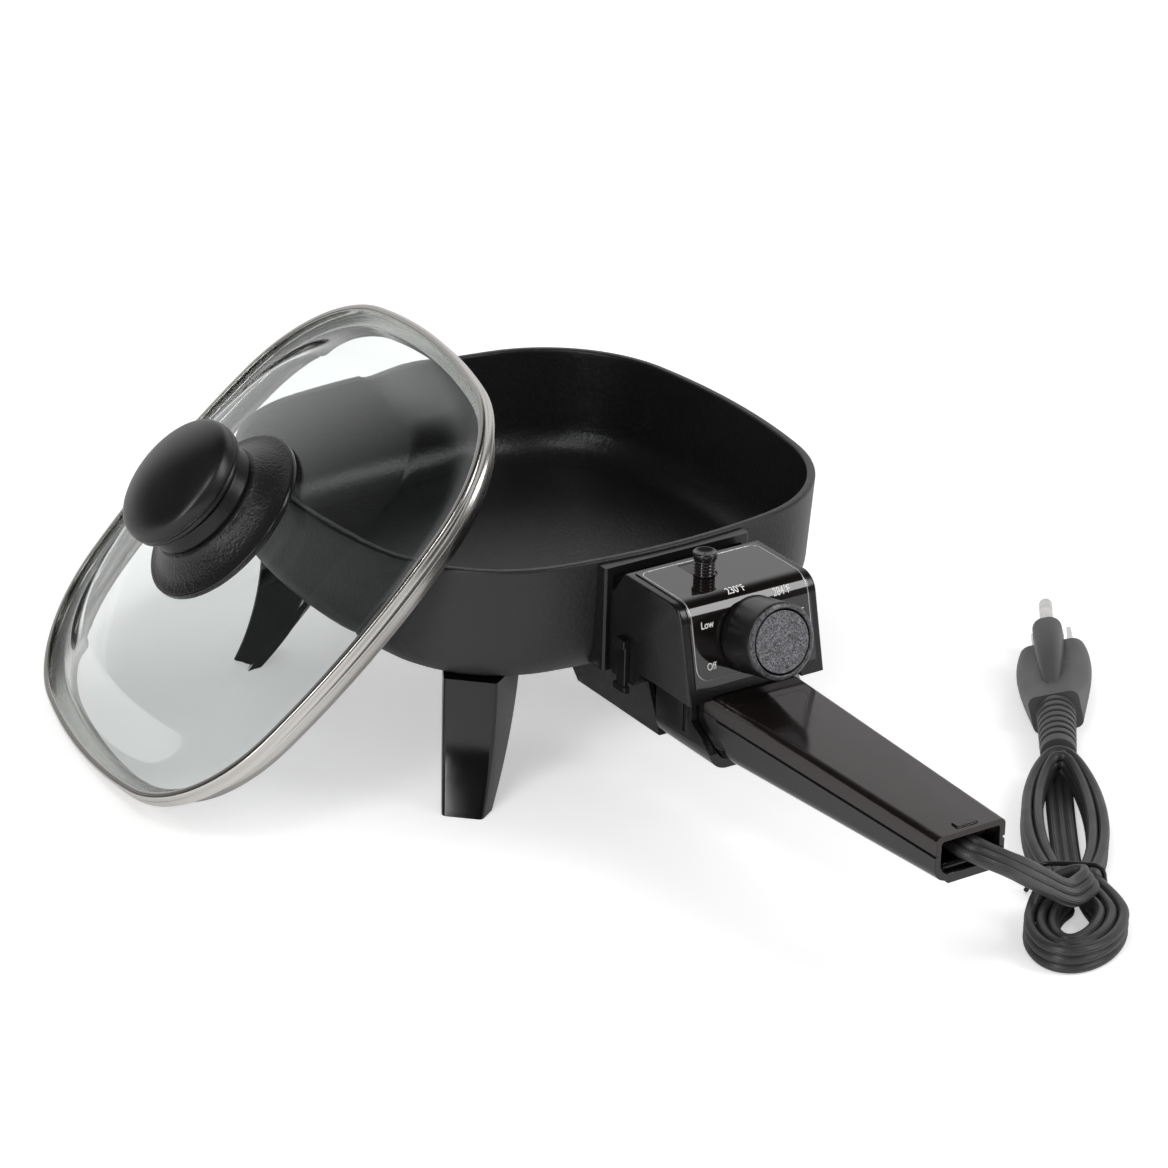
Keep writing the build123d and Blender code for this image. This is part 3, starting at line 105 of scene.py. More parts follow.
def on_table(along, across, height):
    """Waist of the hank plus along times its heading plus across times the left-hand normal."""
    side = np.array([-HANK_STEP[1], HANK_STEP[0]])
    return (*(HANK_WAIST + along * HANK_STEP + across * side), height)


def short_loop(inset, first):
    """Anticlockwise from the waist's left, or from a first angle: a leaning ellipse drawn in."""
    points = []
    for angle in np.radians([a for a in SHORT_ANGLES if a <= first]):
        x = -(SHORT_HALF[0] - inset) * np.cos(angle)
        y = (SHORT_HALF[1] - inset) * np.sin(angle)
        along = SHORT_CENTRE[0] + x * np.cos(SHORT_LEAN) + y * np.sin(SHORT_LEAN)
        across = SHORT_CENTRE[1] - x * np.sin(SHORT_LEAN) + y * np.cos(SHORT_LEAN)
        points.append(on_table(along, across, EDGE))
    return points


def long_loop(inset):
    """Anticlockwise from the waist's right: an ellipse drawn in by inset, lifted over the tail."""
    points = []
    for angle in np.radians(LONG_ANGLES):
        lift = EDGE + LONG_LIFT * max(0.0, np.cos(angle)) ** 6
        points.append(on_table(LONG_CENTRE + (LONG_HALF[0] - inset) * np.cos(angle),
                               (LONG_HALF[1] - inset) * np.sin(angle), lift))
    return points


lead = [(0.0, CLAMP_Y, CORD_Z), (0.0, -243.0, CORD_Z), (1.6, -249.5, 48.2), (8.5, -253.6, 44.5),
        (19.0, -252.4, 37.5), (30.0, -249.6, 29.5), (40.5, -245.6, 21.5), (49.0, -241.2, 16.0)]
hairpin = [(-20.5, -1.6, 15.4), (-15.5, -4.6, 15.2), (-10.4, -4.4, 14.8), (-9.2, 0.4, 14.3),
           (-11.8, 6.2, 13.2), (-15.6, 11.6, 9.2)]
hank = [on_table(*spot) for spot in hairpin]
for inset, first, right, left in ((0.0, 90, -7.8, 8.6), (TURN_PITCH, 150, -3.9, 4.7)):
    hank += short_loop(inset, first) + [on_table(0, right, EDGE)]
    hank += long_loop(inset) + [on_table(0, left, EDGE)]
hank += short_loop(2 * TURN_PITCH, 150) + [on_table(-6, -1.6, 5.0)]
under = [(2, 0.0, 4.9), (14, 0.1, 3.9), (26, 0.2, 2.4), (40, 0.3, 2.0), (58, 0.4, 1.9),
         (76, 0.2, 1.9)]
tail = [on_table(*spot) for spot in under] + [(112.6, -156.6, 4.4), (117.6, -150.2, 7.4)]
route = np.array(lead + hank + tail) * MM


def smooth_line(name, points):
    """Quadratic NURBS through the ends of a control polygon, read back as a polyline."""
    curve = bpy.data.curves.new(name, "CURVE")
    curve.dimensions = "3D"
    curve.resolution_u = 10
    spline = curve.splines.new("NURBS")
    spline.points.add(len(points) - 1)
    spline.points.foreach_set("co", np.column_stack([points, np.ones(len(points))]).ravel())
    spline.order_u = 3
    spline.use_endpoint_u = True
    holder = bpy.data.objects.new(name, curve)
    line = bpy.data.meshes.new_from_object(holder)
    read = np.empty(len(line.vertices) * 3)
    line.vertices.foreach_get("co", read)
    bpy.data.objects.remove(holder)
    bpy.data.meshes.remove(line)
    bpy.data.curves.remove(curve)
    return read.reshape(-1, 3)


def unit(vectors):
    """Vectors over their lengths."""
    return vectors / np.maximum(np.linalg.norm(vectors, axis=-1, keepdims=True), 1e-12)


def travelled(line):
    """Distance along a polyline at each of its points."""
    return np.concatenate([[0.0], np.cumsum(np.linalg.norm(np.diff(line, axis=0), axis=1))])


def evenly(line, spacing):
    """The same polyline at near-equal steps."""
    run = travelled(line)
    steps = np.linspace(0, run[-1], int(run[-1] / spacing) + 2)
    return np.column_stack([np.interp(steps, run, line[:, axis]) for axis in range(3)])


def smoothstep(low, high, value):
    """Zero below low, one above high, with a soft S between."""
    share = np.clip((value - low) / (high - low), 0, 1)
    return share * share * (3 - 2 * share)


def swept(line, right, up, outline):
    """Outline of (right, up) points carried along a line on its two cross axes."""
    return (line[:, None] + right[:, None] * outline[None, :, :1]
            + up[:, None] * outline[None, :, 1:])


def grid_piece(name, points, wrap=False, body="skillet"):
    """Piece of closed rows of points (rows, columns, 3), quads between neighbours. The last row is
    joined to the first if it wraps; if not, a face closes each end."""
    rows, columns = points.shape[:2]
    index = np.arange(rows * columns).reshape(rows, columns)
    index = np.column_stack([index, index[:, :1]])
    if wrap:
        index = np.vstack([index, index[:1]])
    quads = np.stack([index[:-1, :-1], index[:-1, 1:], index[1:, 1:], index[1:, :-1]], -1)
    faces = quads.reshape(-1, 4).tolist()
    if not wrap:
        faces += [index[0, :-1][::-1].tolist(), index[-1, :-1].tolist()]
    mesh = bpy.data.meshes.new(name)
    mesh.from_pydata(points.reshape(-1, 3).tolist(), [], faces)
    mesh.shade_smooth()
    piece = show(name, mesh)
    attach(piece, body)
    return piece


def stand_in(piece, slot, *nodes):
    """Hides the CAD nodes that a piece is shown for; the piece and the slot are not used."""
    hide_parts(*nodes)


def cord_section():
    """Outline of three ribbed circles side by side: the nearest one's half thickness, floored at
    the web; the points crowd a little towards both edges."""
    core, crowding = CORD_THICK / 2, 0.25
    across = np.linspace(-1, 1, 79)
    across = np.sin(across * np.pi / 2) * crowding + across * (1 - crowding)
    width = across * CORD_WIDTH / 2
    pitch = (CORD_WIDTH - CORD_THICK) / 2
    nearest = np.clip(np.round(width / pitch), -1, 1) * pitch
    half = np.sqrt(np.maximum(core ** 2 - (width - nearest) ** 2, 0.0))
    half = np.where(np.abs(width) < pitch, np.maximum(half, WEB_SHARE * core), half)
    half = half * (1 + RIB_SHARE * np.cos(2 * np.pi * width / RIB_PITCH))
    upper = np.column_stack([width, half])[:-1]
    lower = np.column_stack([width, -half])[:0:-1]
    return np.vstack([upper, lower]) * MM


cord_line = evenly(smooth_line("cord_route", route), CORD_STEP)
cord_run = travelled(cord_line)
tail_start = cord_run[-1] - TAIL_LENGTH
ahead = unit(np.gradient(cord_line, axis=0))
level_side = unit(np.cross(ahead, [0.0, 0.0, 1.0]))
upright = unit(np.cross(level_side, ahead))
rises = ((0.25, 0.004, 0.016), (0.37, 0.018, 0.045),
         (0.38, LEAD_LENGTH - 0.004, LEAD_LENGTH + 0.022))  # share of a quarter turn, from, to
stand = sum(share * smoothstep(low, high, cord_run) for share, low, high in rises)
stand = stand * (1 - smoothstep(tail_start - 0.012, tail_start + 0.022, cord_run))
lean = (-stand * np.pi / 2)[:, None]
width_way = level_side * np.cos(lean) + upright * np.sin(lean)
thick_way = upright * np.cos(lean) - level_side * np.sin(lean)
cord = grid_piece("cord", swept(cord_line, width_way, thick_way, cord_section()))


class Strand:
    """One output of a tree's nodes; arithmetic on it adds Math nodes."""

    def __init__(self, tree, socket):
        self.tree, self.socket = tree, socket

    def of(self, operation, other):
        """Math node of this strand and another value."""
        return self.tree.node("ShaderNodeMath", {"operation": operation}, self, other)

    def __add__(self, other):
        return self.of("ADD", other)

    def __sub__(self, other):
        return self.of("SUBTRACT", other)

    def __rsub__(self, other):
        return self.tree.node("ShaderNodeMath", {"operation": "SUBTRACT"}, other, self)

    def __mul__(self, other):
        return self.of("MULTIPLY", other)

    __radd__, __rmul__ = __add__, __mul__

    def ramp(self, low, high, start=0.0, end=1.0):
        """Smooth map of low..high onto start..end."""
        return self.tree.node("ShaderNodeMapRange", {"interpolation_type": "SMOOTHSTEP"},
                              self, low, high, start, end)


class Tree:
    """Nodes of a material or a world, all made by one method."""

    def __init__(self, owner):
        owner.use_nodes = True
        self.nodes, self.links = owner.node_tree.nodes, owner.node_tree.links

    def join(self, value, socket):
        """A strand becomes a link; a number, vector or colour is set on the socket."""
        if isinstance(value, Strand):
            self.links.new(value.socket, socket)
        elif value is not None:
            socket.default_value = (*value, 1.0) if socket.type == "RGBA" else value

    def node(self, kind, settings=None, *values, out=0, at=None, **named):
        """Node of a kind: settings first, then sockets in order, by number or by name."""
        made = self.nodes.new(kind)
        for key, value in (settings or {}).items():
            setattr(made, key, value)
        for value, socket in zip(values, made.inputs):
            self.join(value, socket)
        for number, value in (at or {}).items():
            self.join(value, made.inputs[number])
        for key, value in named.items():
            self.join(value, made.inputs[key.replace("_", " ")])
        return Strand(self, made.outputs[out])

    def ray(self, kind):
        """One where the ray is of a kind, such as a camera ray."""
        return self.node("ShaderNodeLightPath", out="Is %s Ray" % kind)

    def parts(self, vector):
        """X, Y and Z of a vector."""
        return [self.node("ShaderNodeSeparateXYZ", None, vector, out=axis) for axis in range(3)]


class Finish(Tree):
    """A material with one Principled shader."""

    def __init__(self, name, **fixed):
        self.material = bpy.data.materials.new(name)
        super().__init__(self.material)
        self.shader = self.nodes["Principled BSDF"]
        self.feed(**fixed)

    def feed(self, **sockets):
        """Set or link the Principled shader's sockets."""
        for key, value in sockets.items():
            self.join(value, self.shader.inputs[key.replace("_", " ")])

    def place(self, scale=(1, 1, 1), shift=(0, 0, 0)):
        """Object coordinates through a Mapping node."""
        where = self.node("ShaderNodeTexCoord", out="Object")
        return self.node("ShaderNodeMapping", None, where, shift, None, scale)

    def noted(self, name):
        """Number stored per point of the mesh."""
        return self.node("ShaderNodeAttribute", {"attribute_name": name}, out="Fac")

    def noise(self, vector, scale, detail=2.0, roughness=0.5):
        """Noise between about 0.3 and 0.7."""
        return self.node("ShaderNodeTexNoise", None, Vector=vector, Scale=scale, Detail=detail,
                         Roughness=roughness)

    def mix(self, share, first, second):
        """Colour mix: first where share is 0, second where it is 1."""
        return self.node("ShaderNodeMix", {"data_type": "RGBA"}, out=2,
                         at={0: share, 6: first, 7: second})

    def bump(self, height, strength, distance):
        """Relief from a height."""
        return self.node("ShaderNodeBump", None, Strength=strength, Distance=distance,
                         Height=height)

    def wear(self, *pieces):
        """Put the material on pieces or CAD nodes."""
        for piece in pieces:
            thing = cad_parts[piece] if isinstance(piece, str) else piece
            thing.data.materials.clear()
            thing.data.materials.append(self.material)


jacket = Finish("cord_jacket", Base_Color=(0.036, 0.035, 0.036), Specular_IOR_Level=0.55)
spot = jacket.place()
jacket.feed(Roughness=jacket.noise(spot, 90.0, 3.0).ramp(0.3, 0.7, 0.34, 0.44),
            Normal=jacket.bump(jacket.noise(spot, 1400.0, 2.0), 0.25, 0.0002))
jacket.wear(cord)
stand_in(cord, "cord_jacket", "cord_run", "cord_hank", "cord_tail")

# ---- pan ----
# Die-cast pan, square with bowed sides and round corners. Its wall leans out from a round foot.
# It is stove-coated black outside and speckled non-stick inside. A rib under the floor holds the
# heating element, and round bosses take the leg screws and the bracket screw.
PAN_HALF, PAN_CORNER, PAN_BOW = 89.0, 54.3, 242.0
FLOOR_Z, RIM_Z = 44.7, 88.0
BASE_FILLET, INNER_FILLET, RIM_ROUND = 15.0, 12.0, 0.9
WALL_ANGLE = 3.963                       # degrees that the wall leans out
WALL_FOOT, WALL_THICK = 3.0, 3.0         # inset of the outer wall at the floor, inner at the rim
RIM_OUTER, RIM_INNER = 0.964, 2.16       # insets of the centres of the rim's two rounds
INNER_BEND_INSET, FLOOR_THICK = 16.92, 4
INWARD = np.array([0.85, 0.6, 0.3, 0.02])
CHANNEL_WIDTH, CHANNEL_DEPTH, CHANNEL_EASE, CHANNEL_END, GROOVE_RADIUS = 11.0, 4.0, 0.6, -71.0, 3.35
ELEMENT_LOOP, ELEMENT_BEND, TERMINAL_HALF, TERMINAL_BEND = 52.0, 24.0, 8.0, 7.0
BOSS_RADIUS, BOSS_DEPTH, BOSS_EASE, SCREW_CIRCLE, SCREW_HOLE = 4.5, 5.0, 0.4, 79.0, 1.85
LEG_ANGLES = {"leg_handle_left": 226.2, "leg_handle_right": 313.8, "leg_far_right": 46.2,
              "leg_far_left": 133.8}
BRACKET_SCREW_Y, BRACKET_SEAT = -65.0, 32.3
OVERLAP = 0.1                            # how far a rib or boss reaches into what it stands on


def headings(angle):
    """Unit (x, y) rows at angles in radians."""
    return np.column_stack([np.cos(angle), np.sin(angle)])


def bowed_rim(steps=36):
    """Rim points and outward normals: eight arcs, a centre plus its radius times (cos, sin)."""
    middle = PAN_BOW - PAN_HALF
    centre = (np.sqrt(2 * (PAN_BOW - PAN_CORNER) ** 2 - middle ** 2) - middle) / 2
    join = np.arctan2(centre, centre + middle)
    side = np.linspace(-join, join, steps // 2, endpoint=False)
    corner = np.linspace(join, np.pi / 2 - join, steps, endpoint=False)
    quarter = np.concatenate([side, corner])
    normal = headings(quarter)
    on_side = quarter[:, None] < join
    heart = np.where(on_side, [-middle, 0.0], [centre, centre])
    point = heart + np.where(on_side, PAN_BOW, PAN_CORNER) * normal
    turns = [np.array([[np.cos(a), -np.sin(a)], [np.sin(a), np.cos(a)]])
             for a in np.pi / 2 * np.arange(4)]
    return [np.vstack([rows @ turn.T for turn in turns]) for rows in (point, normal)]


RIM_POINTS, RIM_NORMALS = bowed_rim()


def lifted(level, height):
    """Level points, each with its height."""
    return np.concatenate([level, np.broadcast_to(height[..., None], (*level.shape[:-1], 1))], -1)


def rim_rows(profile):
    """Rings round the pan's outline: rim point less inset times its normal, at profile heights."""
    inset, height = np.asarray(profile, float).T
    return lifted(RIM_POINTS[None] - inset[:, None, None] * RIM_NORMALS[None], height[:, None])


def shrunk_rows(ring, shares):
    """Copies of a ring drawn in towards the axis by each share."""
    return ring[None] * np.stack([shares, shares, np.ones(len(shares))], -1)[:, None]


def bend(centre, radius, start, end, steps=8):
    """Round of a profile: centre plus radius times (cos, sin), from one angle to another."""
    return np.asarray(centre) + radius * headings(np.radians(np.linspace(start, end, steps)))


def note(piece, name, values):
    """Store one number per point of a mesh, row by row."""
    layer = piece.data.attributes.new(name, "FLOAT", "POINT")
    layer.data.foreach_set("value", np.asarray(values, float).ravel())


wall_slope = np.tan(np.radians(WALL_ANGLE))
base_inset = WALL_FOOT - BASE_FILLET * wall_slope + BASE_FILLET / np.cos(np.radians(WALL_ANGLE))
outer_profile = np.vstack([
    bend((base_inset, FLOOR_Z + BASE_FILLET), BASE_FILLET, 270, 180 + WALL_ANGLE, 14),
    [(WALL_FOOT - wall_slope * rise, FLOOR_Z + rise) for rise in (20.0, 28.0, 36.0, 41.0)],
    bend((RIM_OUTER, RIM_Z - RIM_ROUND), RIM_ROUND, 180 + WALL_ANGLE, 90, 6)])
inner_profile = np.vstack([
    bend((RIM_INNER, RIM_Z - RIM_ROUND), RIM_ROUND, 90, WALL_ANGLE, 6),
    [(WALL_THICK + wall_slope * drop, RIM_Z - drop) for drop in (3.0, 8.0, 14.0, 20.0, 26.0)],
    bend((INNER_BEND_INSET, FLOOR_Z + FLOOR_THICK + INNER_FILLET), INNER_FILLET,
         180 + WALL_ANGLE, 270, 12)])
outer_rows, inner_rows = rim_rows(outer_profile), rim_rows(inner_profile)
pan_points = np.concatenate([shrunk_rows(outer_rows[0], INWARD[::-1]), outer_rows, inner_rows,
                             shrunk_rows(inner_rows[-1], INWARD)])
pan_shell = grid_piece("pan_shell", pan_points * MM)
inside = np.arange(len(pan_points)) >= len(INWARD) + len(outer_profile) - 2
note(pan_shell, "inside", np.repeat(inside, pan_points.shape[1]))


def rounded_way(corners, radii, steps):
    """Level path through corners: each round is centred on the bisector, swung from leg to leg."""
    corners = np.asarray(corners, float)
    way = [corners[:1]]
    for before, here, after, radius in zip(corners, corners[1:], corners[2:], radii):
        first, second = unit(before - here), unit(after - here)
        half = np.arccos(np.clip(first @ second, -1, 1)) / 2
        centre = here + unit(first + second) * radius / np.sin(half)
        start = unit(here + first * radius / np.tan(half) - centre)
        stop = unit(here + second * radius / np.tan(half) - centre)
        swing = np.pi - 2 * half
        share = np.linspace(0, 1, steps)[:, None]
        turning = np.sin((1 - share) * swing) * start + np.sin(share * swing) * stop
        way.append(centre + radius * turning / np.sin(swing))
    return np.vstack(way + [corners[-1:]])


def carried(name, way, height, outline):
    """Outline of (right, up) points carried along a level path at a height."""
    way = lifted(np.asarray(way, float), np.full(len(way), height))
    ahead = unit(np.gradient(way, axis=0))
    right = np.column_stack([ahead[:, 1], -ahead[:, 0], np.zeros(len(way))])
    up = np.broadcast_to([0.0, 0.0, 1.0], way.shape)
    return grid_piece(name, swept(way, right, up, np.asarray(outline, float)) * MM)


rib, rib_top, loop, gate = CHANNEL_WIDTH / 2, CHANNEL_DEPTH + OVERLAP, ELEMENT_LOOP, TERMINAL_HALF
element_way = rounded_way([(-gate, CHANNEL_END), (-gate, -loop), (-loop, -loop), (-loop, loop),
                           (loop, loop), (loop, -loop), (gate, -loop), (gate, CHANNEL_END)],
                          [TERMINAL_BEND] + [ELEMENT_BEND] * 4 + [TERMINAL_BEND], 12)
channel_outline = np.vstack([[(-rib, CHANNEL_EASE), (-rib, rib_top), (rib, rib_top),
                              (rib, CHANNEL_EASE), (rib - CHANNEL_EASE, 0)],
                             bend((0, 0), GROOVE_RADIUS, 0, 180, 11), [(-rib + CHANNEL_EASE, 0)]])
channel = carried("element_channel", element_way, FLOOR_Z - CHANNEL_DEPTH, channel_outline)


def turned(name, profile, settle, steps, body="skillet"):
    """Ring turned about Z: (radius cos, radius sin, height) of each row, settled in its place."""
    radius, height = np.asarray(profile, float).T
    circle = headings(np.linspace(0, 2 * np.pi, steps, endpoint=False))
    points = lifted(radius[:, None, None] * circle[None], height[:, None])
    return grid_piece(name, settle(points) * MM, wrap=True, body=body)


leg_spots = SCREW_CIRCLE * headings(np.radians(list(LEG_ANGLES.values())))
boss_spots = [(*spot, FLOOR_Z - BOSS_DEPTH) for spot in leg_spots]
bosses = []
for number, (x, y, low) in enumerate(boss_spots + [(0.0, BRACKET_SCREW_Y, BRACKET_SEAT)]):
    tube_wall = [(SCREW_HOLE, low), (BOSS_RADIUS - BOSS_EASE, low), (BOSS_RADIUS, low + BOSS_EASE),
                 (BOSS_RADIUS, FLOOR_Z + OVERLAP), (SCREW_HOLE, FLOOR_Z + OVERLAP)]
    bosses.append(turned("pan_boss_%d" % number, tube_wall, lambda p: p + [x, y, 0.0], 32))

coating = Finish("pan_coating", Specular_IOR_Level=0.5)
spot = coating.place()
lining = coating.noted("inside")
pebble = coating.noise(spot, 620.0, 3.0, 0.6)
fleck = coating.noise(spot, 1500.0, 2.0, 0.7).ramp(0.60, 0.70)
cloud = coating.noise(spot, 14.0, 3.0)
outside_tone = coating.mix(cloud.ramp(0.3, 0.7), (0.0150, 0.0150, 0.0158),
                           (0.0215, 0.0212, 0.0220))
inside_tone = coating.mix(fleck * 0.55, (0.0105, 0.0105, 0.0112), (0.060, 0.058, 0.058))
coating.feed(Base_Color=coating.mix(lining, outside_tone, inside_tone),
             Roughness=(cloud * 0.10 + 0.37) - lining * 0.05,
             Normal=coating.bump(pebble, 0.42, 0.00045))
coating.wear(pan_shell, channel, *bosses)
for piece in (pan_shell, channel, *bosses):
    stand_in(piece, "cast_body", "pan")

# ---- heating element ----
# Steel-sheathed tube pressed up into the rib, heat-stained, with a cold pin and a ceramic bead at
# each end inside the handle bracket.
sheath = Finish("element_sheath", Metallic=1.0)
spot = sheath.place()
stain = sheath.noise(spot, 60.0, 4.0, 0.6)
sheath.feed(Base_Color=sheath.mix(stain.ramp(0.35, 0.65), (0.22, 0.19, 0.17), (0.34, 0.31, 0.29)),
            Roughness=stain * 0.3 + 0.32,
            Normal=sheath.bump(sheath.noise(spot, 900.0), 0.1, 0.0002))
sheath.wear("heating_element")
ceramic = Finish("ceramic", Base_Color=(0.82, 0.79, 0.72), Roughness=0.7)
ceramic.feed(Normal=ceramic.bump(ceramic.noise(ceramic.place(), 1200.0), 0.15, 0.0002))
ceramic.wear("terminal_insulators", "thermostat_stack")

# ---- legs ----
# Four sabre-curved legs moulded in black phenolic, glossy from the mould, wide face outwards.
# Each is hollow at the back round its screw, and stands on a small flat sole.
MERGE_REACH, FLAT_ANGLE, SHARP_ANGLE = 2e-6, np.radians(0.4), np.radians(34.0)


def softened(node, width, segments=3, slot="black_moulding", body="skillet"):
    """Copy of a solid's mesh: doubles merged, flat facets joined, its sharp edges rounded."""
    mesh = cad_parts[node].data.copy()
    shape = bmesh.new()
    shape.from_mesh(mesh)
    bmesh.ops.remove_doubles(shape, verts=shape.verts, dist=MERGE_REACH)
    bmesh.ops.dissolve_limit(shape, angle_limit=FLAT_ANGLE, verts=shape.verts, edges=shape.edges)
    shape.to_mesh(mesh)
    shape.free()
    mesh.shade_smooth()
    mesh.set_sharp_from_angle(angle=SHARP_ANGLE)
    piece = show(node + "_moulded", mesh)
    edge = piece.modifiers.new("edge", "BEVEL")
    edge.width, edge.segments = width * MM, segments
    edge.limit_method, edge.angle_limit = "ANGLE", SHARP_ANGLE
    edge.harden_normals = True
    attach(piece, body)
    stand_in(piece, slot, node)
    return piece


def moulding(name, low_tone, high_tone, smooth, rough, grain, depth, **fixed):
    """Black moulded plastic: cloudy tone if tones are given, patchy polish, fine grain."""
    finish = Finish(name, **fixed)
    spot = finish.place()
    cloud = finish.noise(spot, 35.0, 4.0, 0.6).ramp(0.3, 0.7)
    finish.feed(Base_Color=finish.mix(cloud, low_tone, high_tone) if low_tone else None,
                Roughness=cloud * (rough - smooth) + smooth,
                Normal=finish.bump(finish.noise(spot, grain, 3.0), 0.3, depth))
    return finish


leg_gloss = moulding("leg_gloss", (0.0045, 0.0040, 0.0042), (0.0075, 0.0068, 0.0070), 0.10, 0.17,
                     160.0, 0.00005, Specular_IOR_Level=0.55)
leg_gloss.wear(*[softened(name, 0.5) for name in LEG_ANGLES])
zinc = Finish("zinc_screws", Metallic=1.0)
spot = zinc.place()
zinc.feed(Base_Color=zinc.mix(zinc.noise(spot, 300.0).ramp(0.35, 0.65), (0.42, 0.42, 0.43),
                              (0.62, 0.62, 0.61)),
          Roughness=zinc.noise(spot, 500.0, 3.0) * 0.3 + 0.2)
zinc.wear(*[softened(name, 0.15, 2, "screw_steel")
            for name in ("leg_screws", "bracket_screws", "handle_screws")])

# ---- bracket and wall frame ----
# A folded steel channel, enamelled black, is screwed under the pan and carries box and handle.
# A phenolic frame with two upright ribs lies on the pan's wall and keeps the box off the heat.
enamel = moulding("black_enamel", (0.012, 0.012, 0.012), (0.018, 0.018, 0.018), 0.24, 0.36, 420.0,
                  0.00016)
enamel.wear(softened("handle_bracket", 0.3, 2, "bracket_steel"))
frame_satin = moulding("frame_satin", (0.0065, 0.0062, 0.0062), (0.010, 0.0095, 0.0095), 0.20, 0.30,
                       700.0, 0.0001)
frame_satin.wear(softened("wall_frame", 0.4))

# ---- control box ----
# Phenolic housing with a rounded crown over a shallow base; two snap hooks on its sides hold them
# together. Box and handle collar share one satin, with small rounds on their edges.
box_satin = moulding("box_satin", (0.0065, 0.0060, 0.0062), (0.010, 0.0092, 0.0095), 0.16, 0.25,
                     900.0, 0.00008)
box_satin.wear(softened("control_housing", 0.55), softened("control_base", 0.4),
               softened("side_latches", 0.35, 2), softened("handle_collar", 0.5))

# ---- thermostat ----
# Plated steel frame with the shaft's bush, ceramic spacers and a bimetal blade, hidden in the box.
# A brass nut holds the bush in the face, and the brass shaft comes out through it to the dial.
plated = Finish("plated_steel", Metallic=1.0)
spot = plated.place()
plated.feed(Base_Color=plated.mix(plated.noise(spot, 220.0, 3.0).ramp(0.3, 0.7), (0.60, 0.60, 0.59),
                                  (0.78, 0.77, 0.75)),
            Roughness=plated.noise(spot, 700.0, 3.0) * 0.22 + 0.16)
plated.wear("thermostat_frame")
bimetal = Finish("bimetal", Metallic=1.0, Roughness=0.34)
bimetal.feed(Base_Color=bimetal.mix(bimetal.noise(bimetal.place((1, 12, 1)), 90.0),
                                    (0.40, 0.36, 0.30), (0.56, 0.51, 0.44)))
bimetal.wear("bimetal_blade")
brass = Finish("turned_brass", Metallic=1.0)
spot = brass.place()
brass.feed(Base_Color=brass.mix(brass.noise(spot, 260.0), (0.58, 0.43, 0.20), (0.74, 0.59, 0.32)),
           Roughness=brass.noise(spot, 800.0) * 0.2 + 0.2)
brass.wear("bush_nut", "dial_shaft")

# ---- dial panel ----
# Thin polished plate wrapped over the face and crown of the box, printed with a fine silver border
# and a white heat scale.
FACE_LEAN = np.radians(13.0)
BOX_FRONT, BOX_LOW, BOX_TOP, BOX_ROUND = 138.0, 56.5, 87.9, 7.0
PANEL_THICK, BORDER_HALF, BORDER_LOW, BORDER_BACK = 0.4, 22.7, 63.4, -102.6
BORDER_ROUND_LOW, BORDER_ROUND_BACK = 4.6, 3.0
LINE_HALF, PRINT_SUNK, PRINT_PROUD = 0.2, 0.1, 0.07
face_up = np.array([0.0, np.sin(FACE_LEAN), np.cos(FACE_LEAN)])
face_out = np.array([0.0, -np.cos(FACE_LEAN), np.sin(FACE_LEAN)])
panel_round = BOX_ROUND + PANEL_THICK
crown_z = BOX_TOP - BOX_ROUND
crown_y = -BOX_FRONT + (crown_z - BOX_LOW) * np.tan(FACE_LEAN) + BOX_ROUND / np.cos(FACE_LEAN)
crown_swing = np.pi / 2 - FACE_LEAN


def on_panel(across, along, lift):
    """Point on the wrapped plate: a straight face below along = 0, an arc of the crown's radius
    over it, and the level top behind; lift stands out along the surface's normal."""
    radius, arc = panel_round + lift, panel_round * crown_swing
    turn = np.pi - FACE_LEAN - np.clip(along / arc, 0, 1) * crown_swing
    below, behind = np.minimum(along, 0), np.maximum(along - arc, 0)
    y = crown_y + radius * np.cos(turn) + below * face_up[1] + behind
    z = crown_z + radius * np.sin(turn) + below * face_up[2]
    return np.stack(np.broadcast_arrays(across, y, z), -1)


panel_gloss = moulding("panel_gloss", (0.0070, 0.0052, 0.0052), (0.0105, 0.0080, 0.0080), 0.05,
                       0.09, 120.0, 0.00003, Specular_IOR_Level=0.6, Coat_Weight=0.5,
                       Coat_Roughness=0.04)
panel_gloss.wear(softened("dial_panel", 0.12, 2, "black_gloss"))

side, back = BORDER_HALF, panel_round * crown_swing + (BORDER_BACK - crown_y)
low = (BORDER_LOW - crown_z - BOX_ROUND * np.sin(FACE_LEAN)) / np.cos(FACE_LEAN)
border_way = rounded_way([(0.0, low), (side, low), (side, back), (-side, back), (-side, low),
                          (-0.01, low)], [BORDER_ROUND_LOW, BORDER_ROUND_BACK, BORDER_ROUND_BACK,
                                          BORDER_ROUND_LOW], 10)
border_way = evenly(np.column_stack([border_way, np.zeros(len(border_way))]), 0.8)[:-1, :2]
border_ahead = unit(np.roll(border_way, -1, 0) - np.roll(border_way, 1, 0))
border_right = np.column_stack([border_ahead[:, 1], -border_ahead[:, 0]])
line = np.array([(-LINE_HALF, -PRINT_SUNK), (-LINE_HALF, PRINT_PROUD), (LINE_HALF, PRINT_PROUD),
                 (LINE_HALF, -PRINT_SUNK)])
flat = border_way[:, None] + border_right[:, None] * line[None, :, :1]
border = grid_piece("panel_border", on_panel(flat[..., 0], flat[..., 1], line[None, :, 1]) * MM,
                    wrap=True)
silver = Finish("silver_print", Metallic=0.85, Roughness=0.28)
silver.feed(Base_Color=silver.mix(silver.noise(silver.place(), 900.0), (0.55, 0.55, 0.55),
                                  (0.75, 0.75, 0.74)))
silver.wear(border)

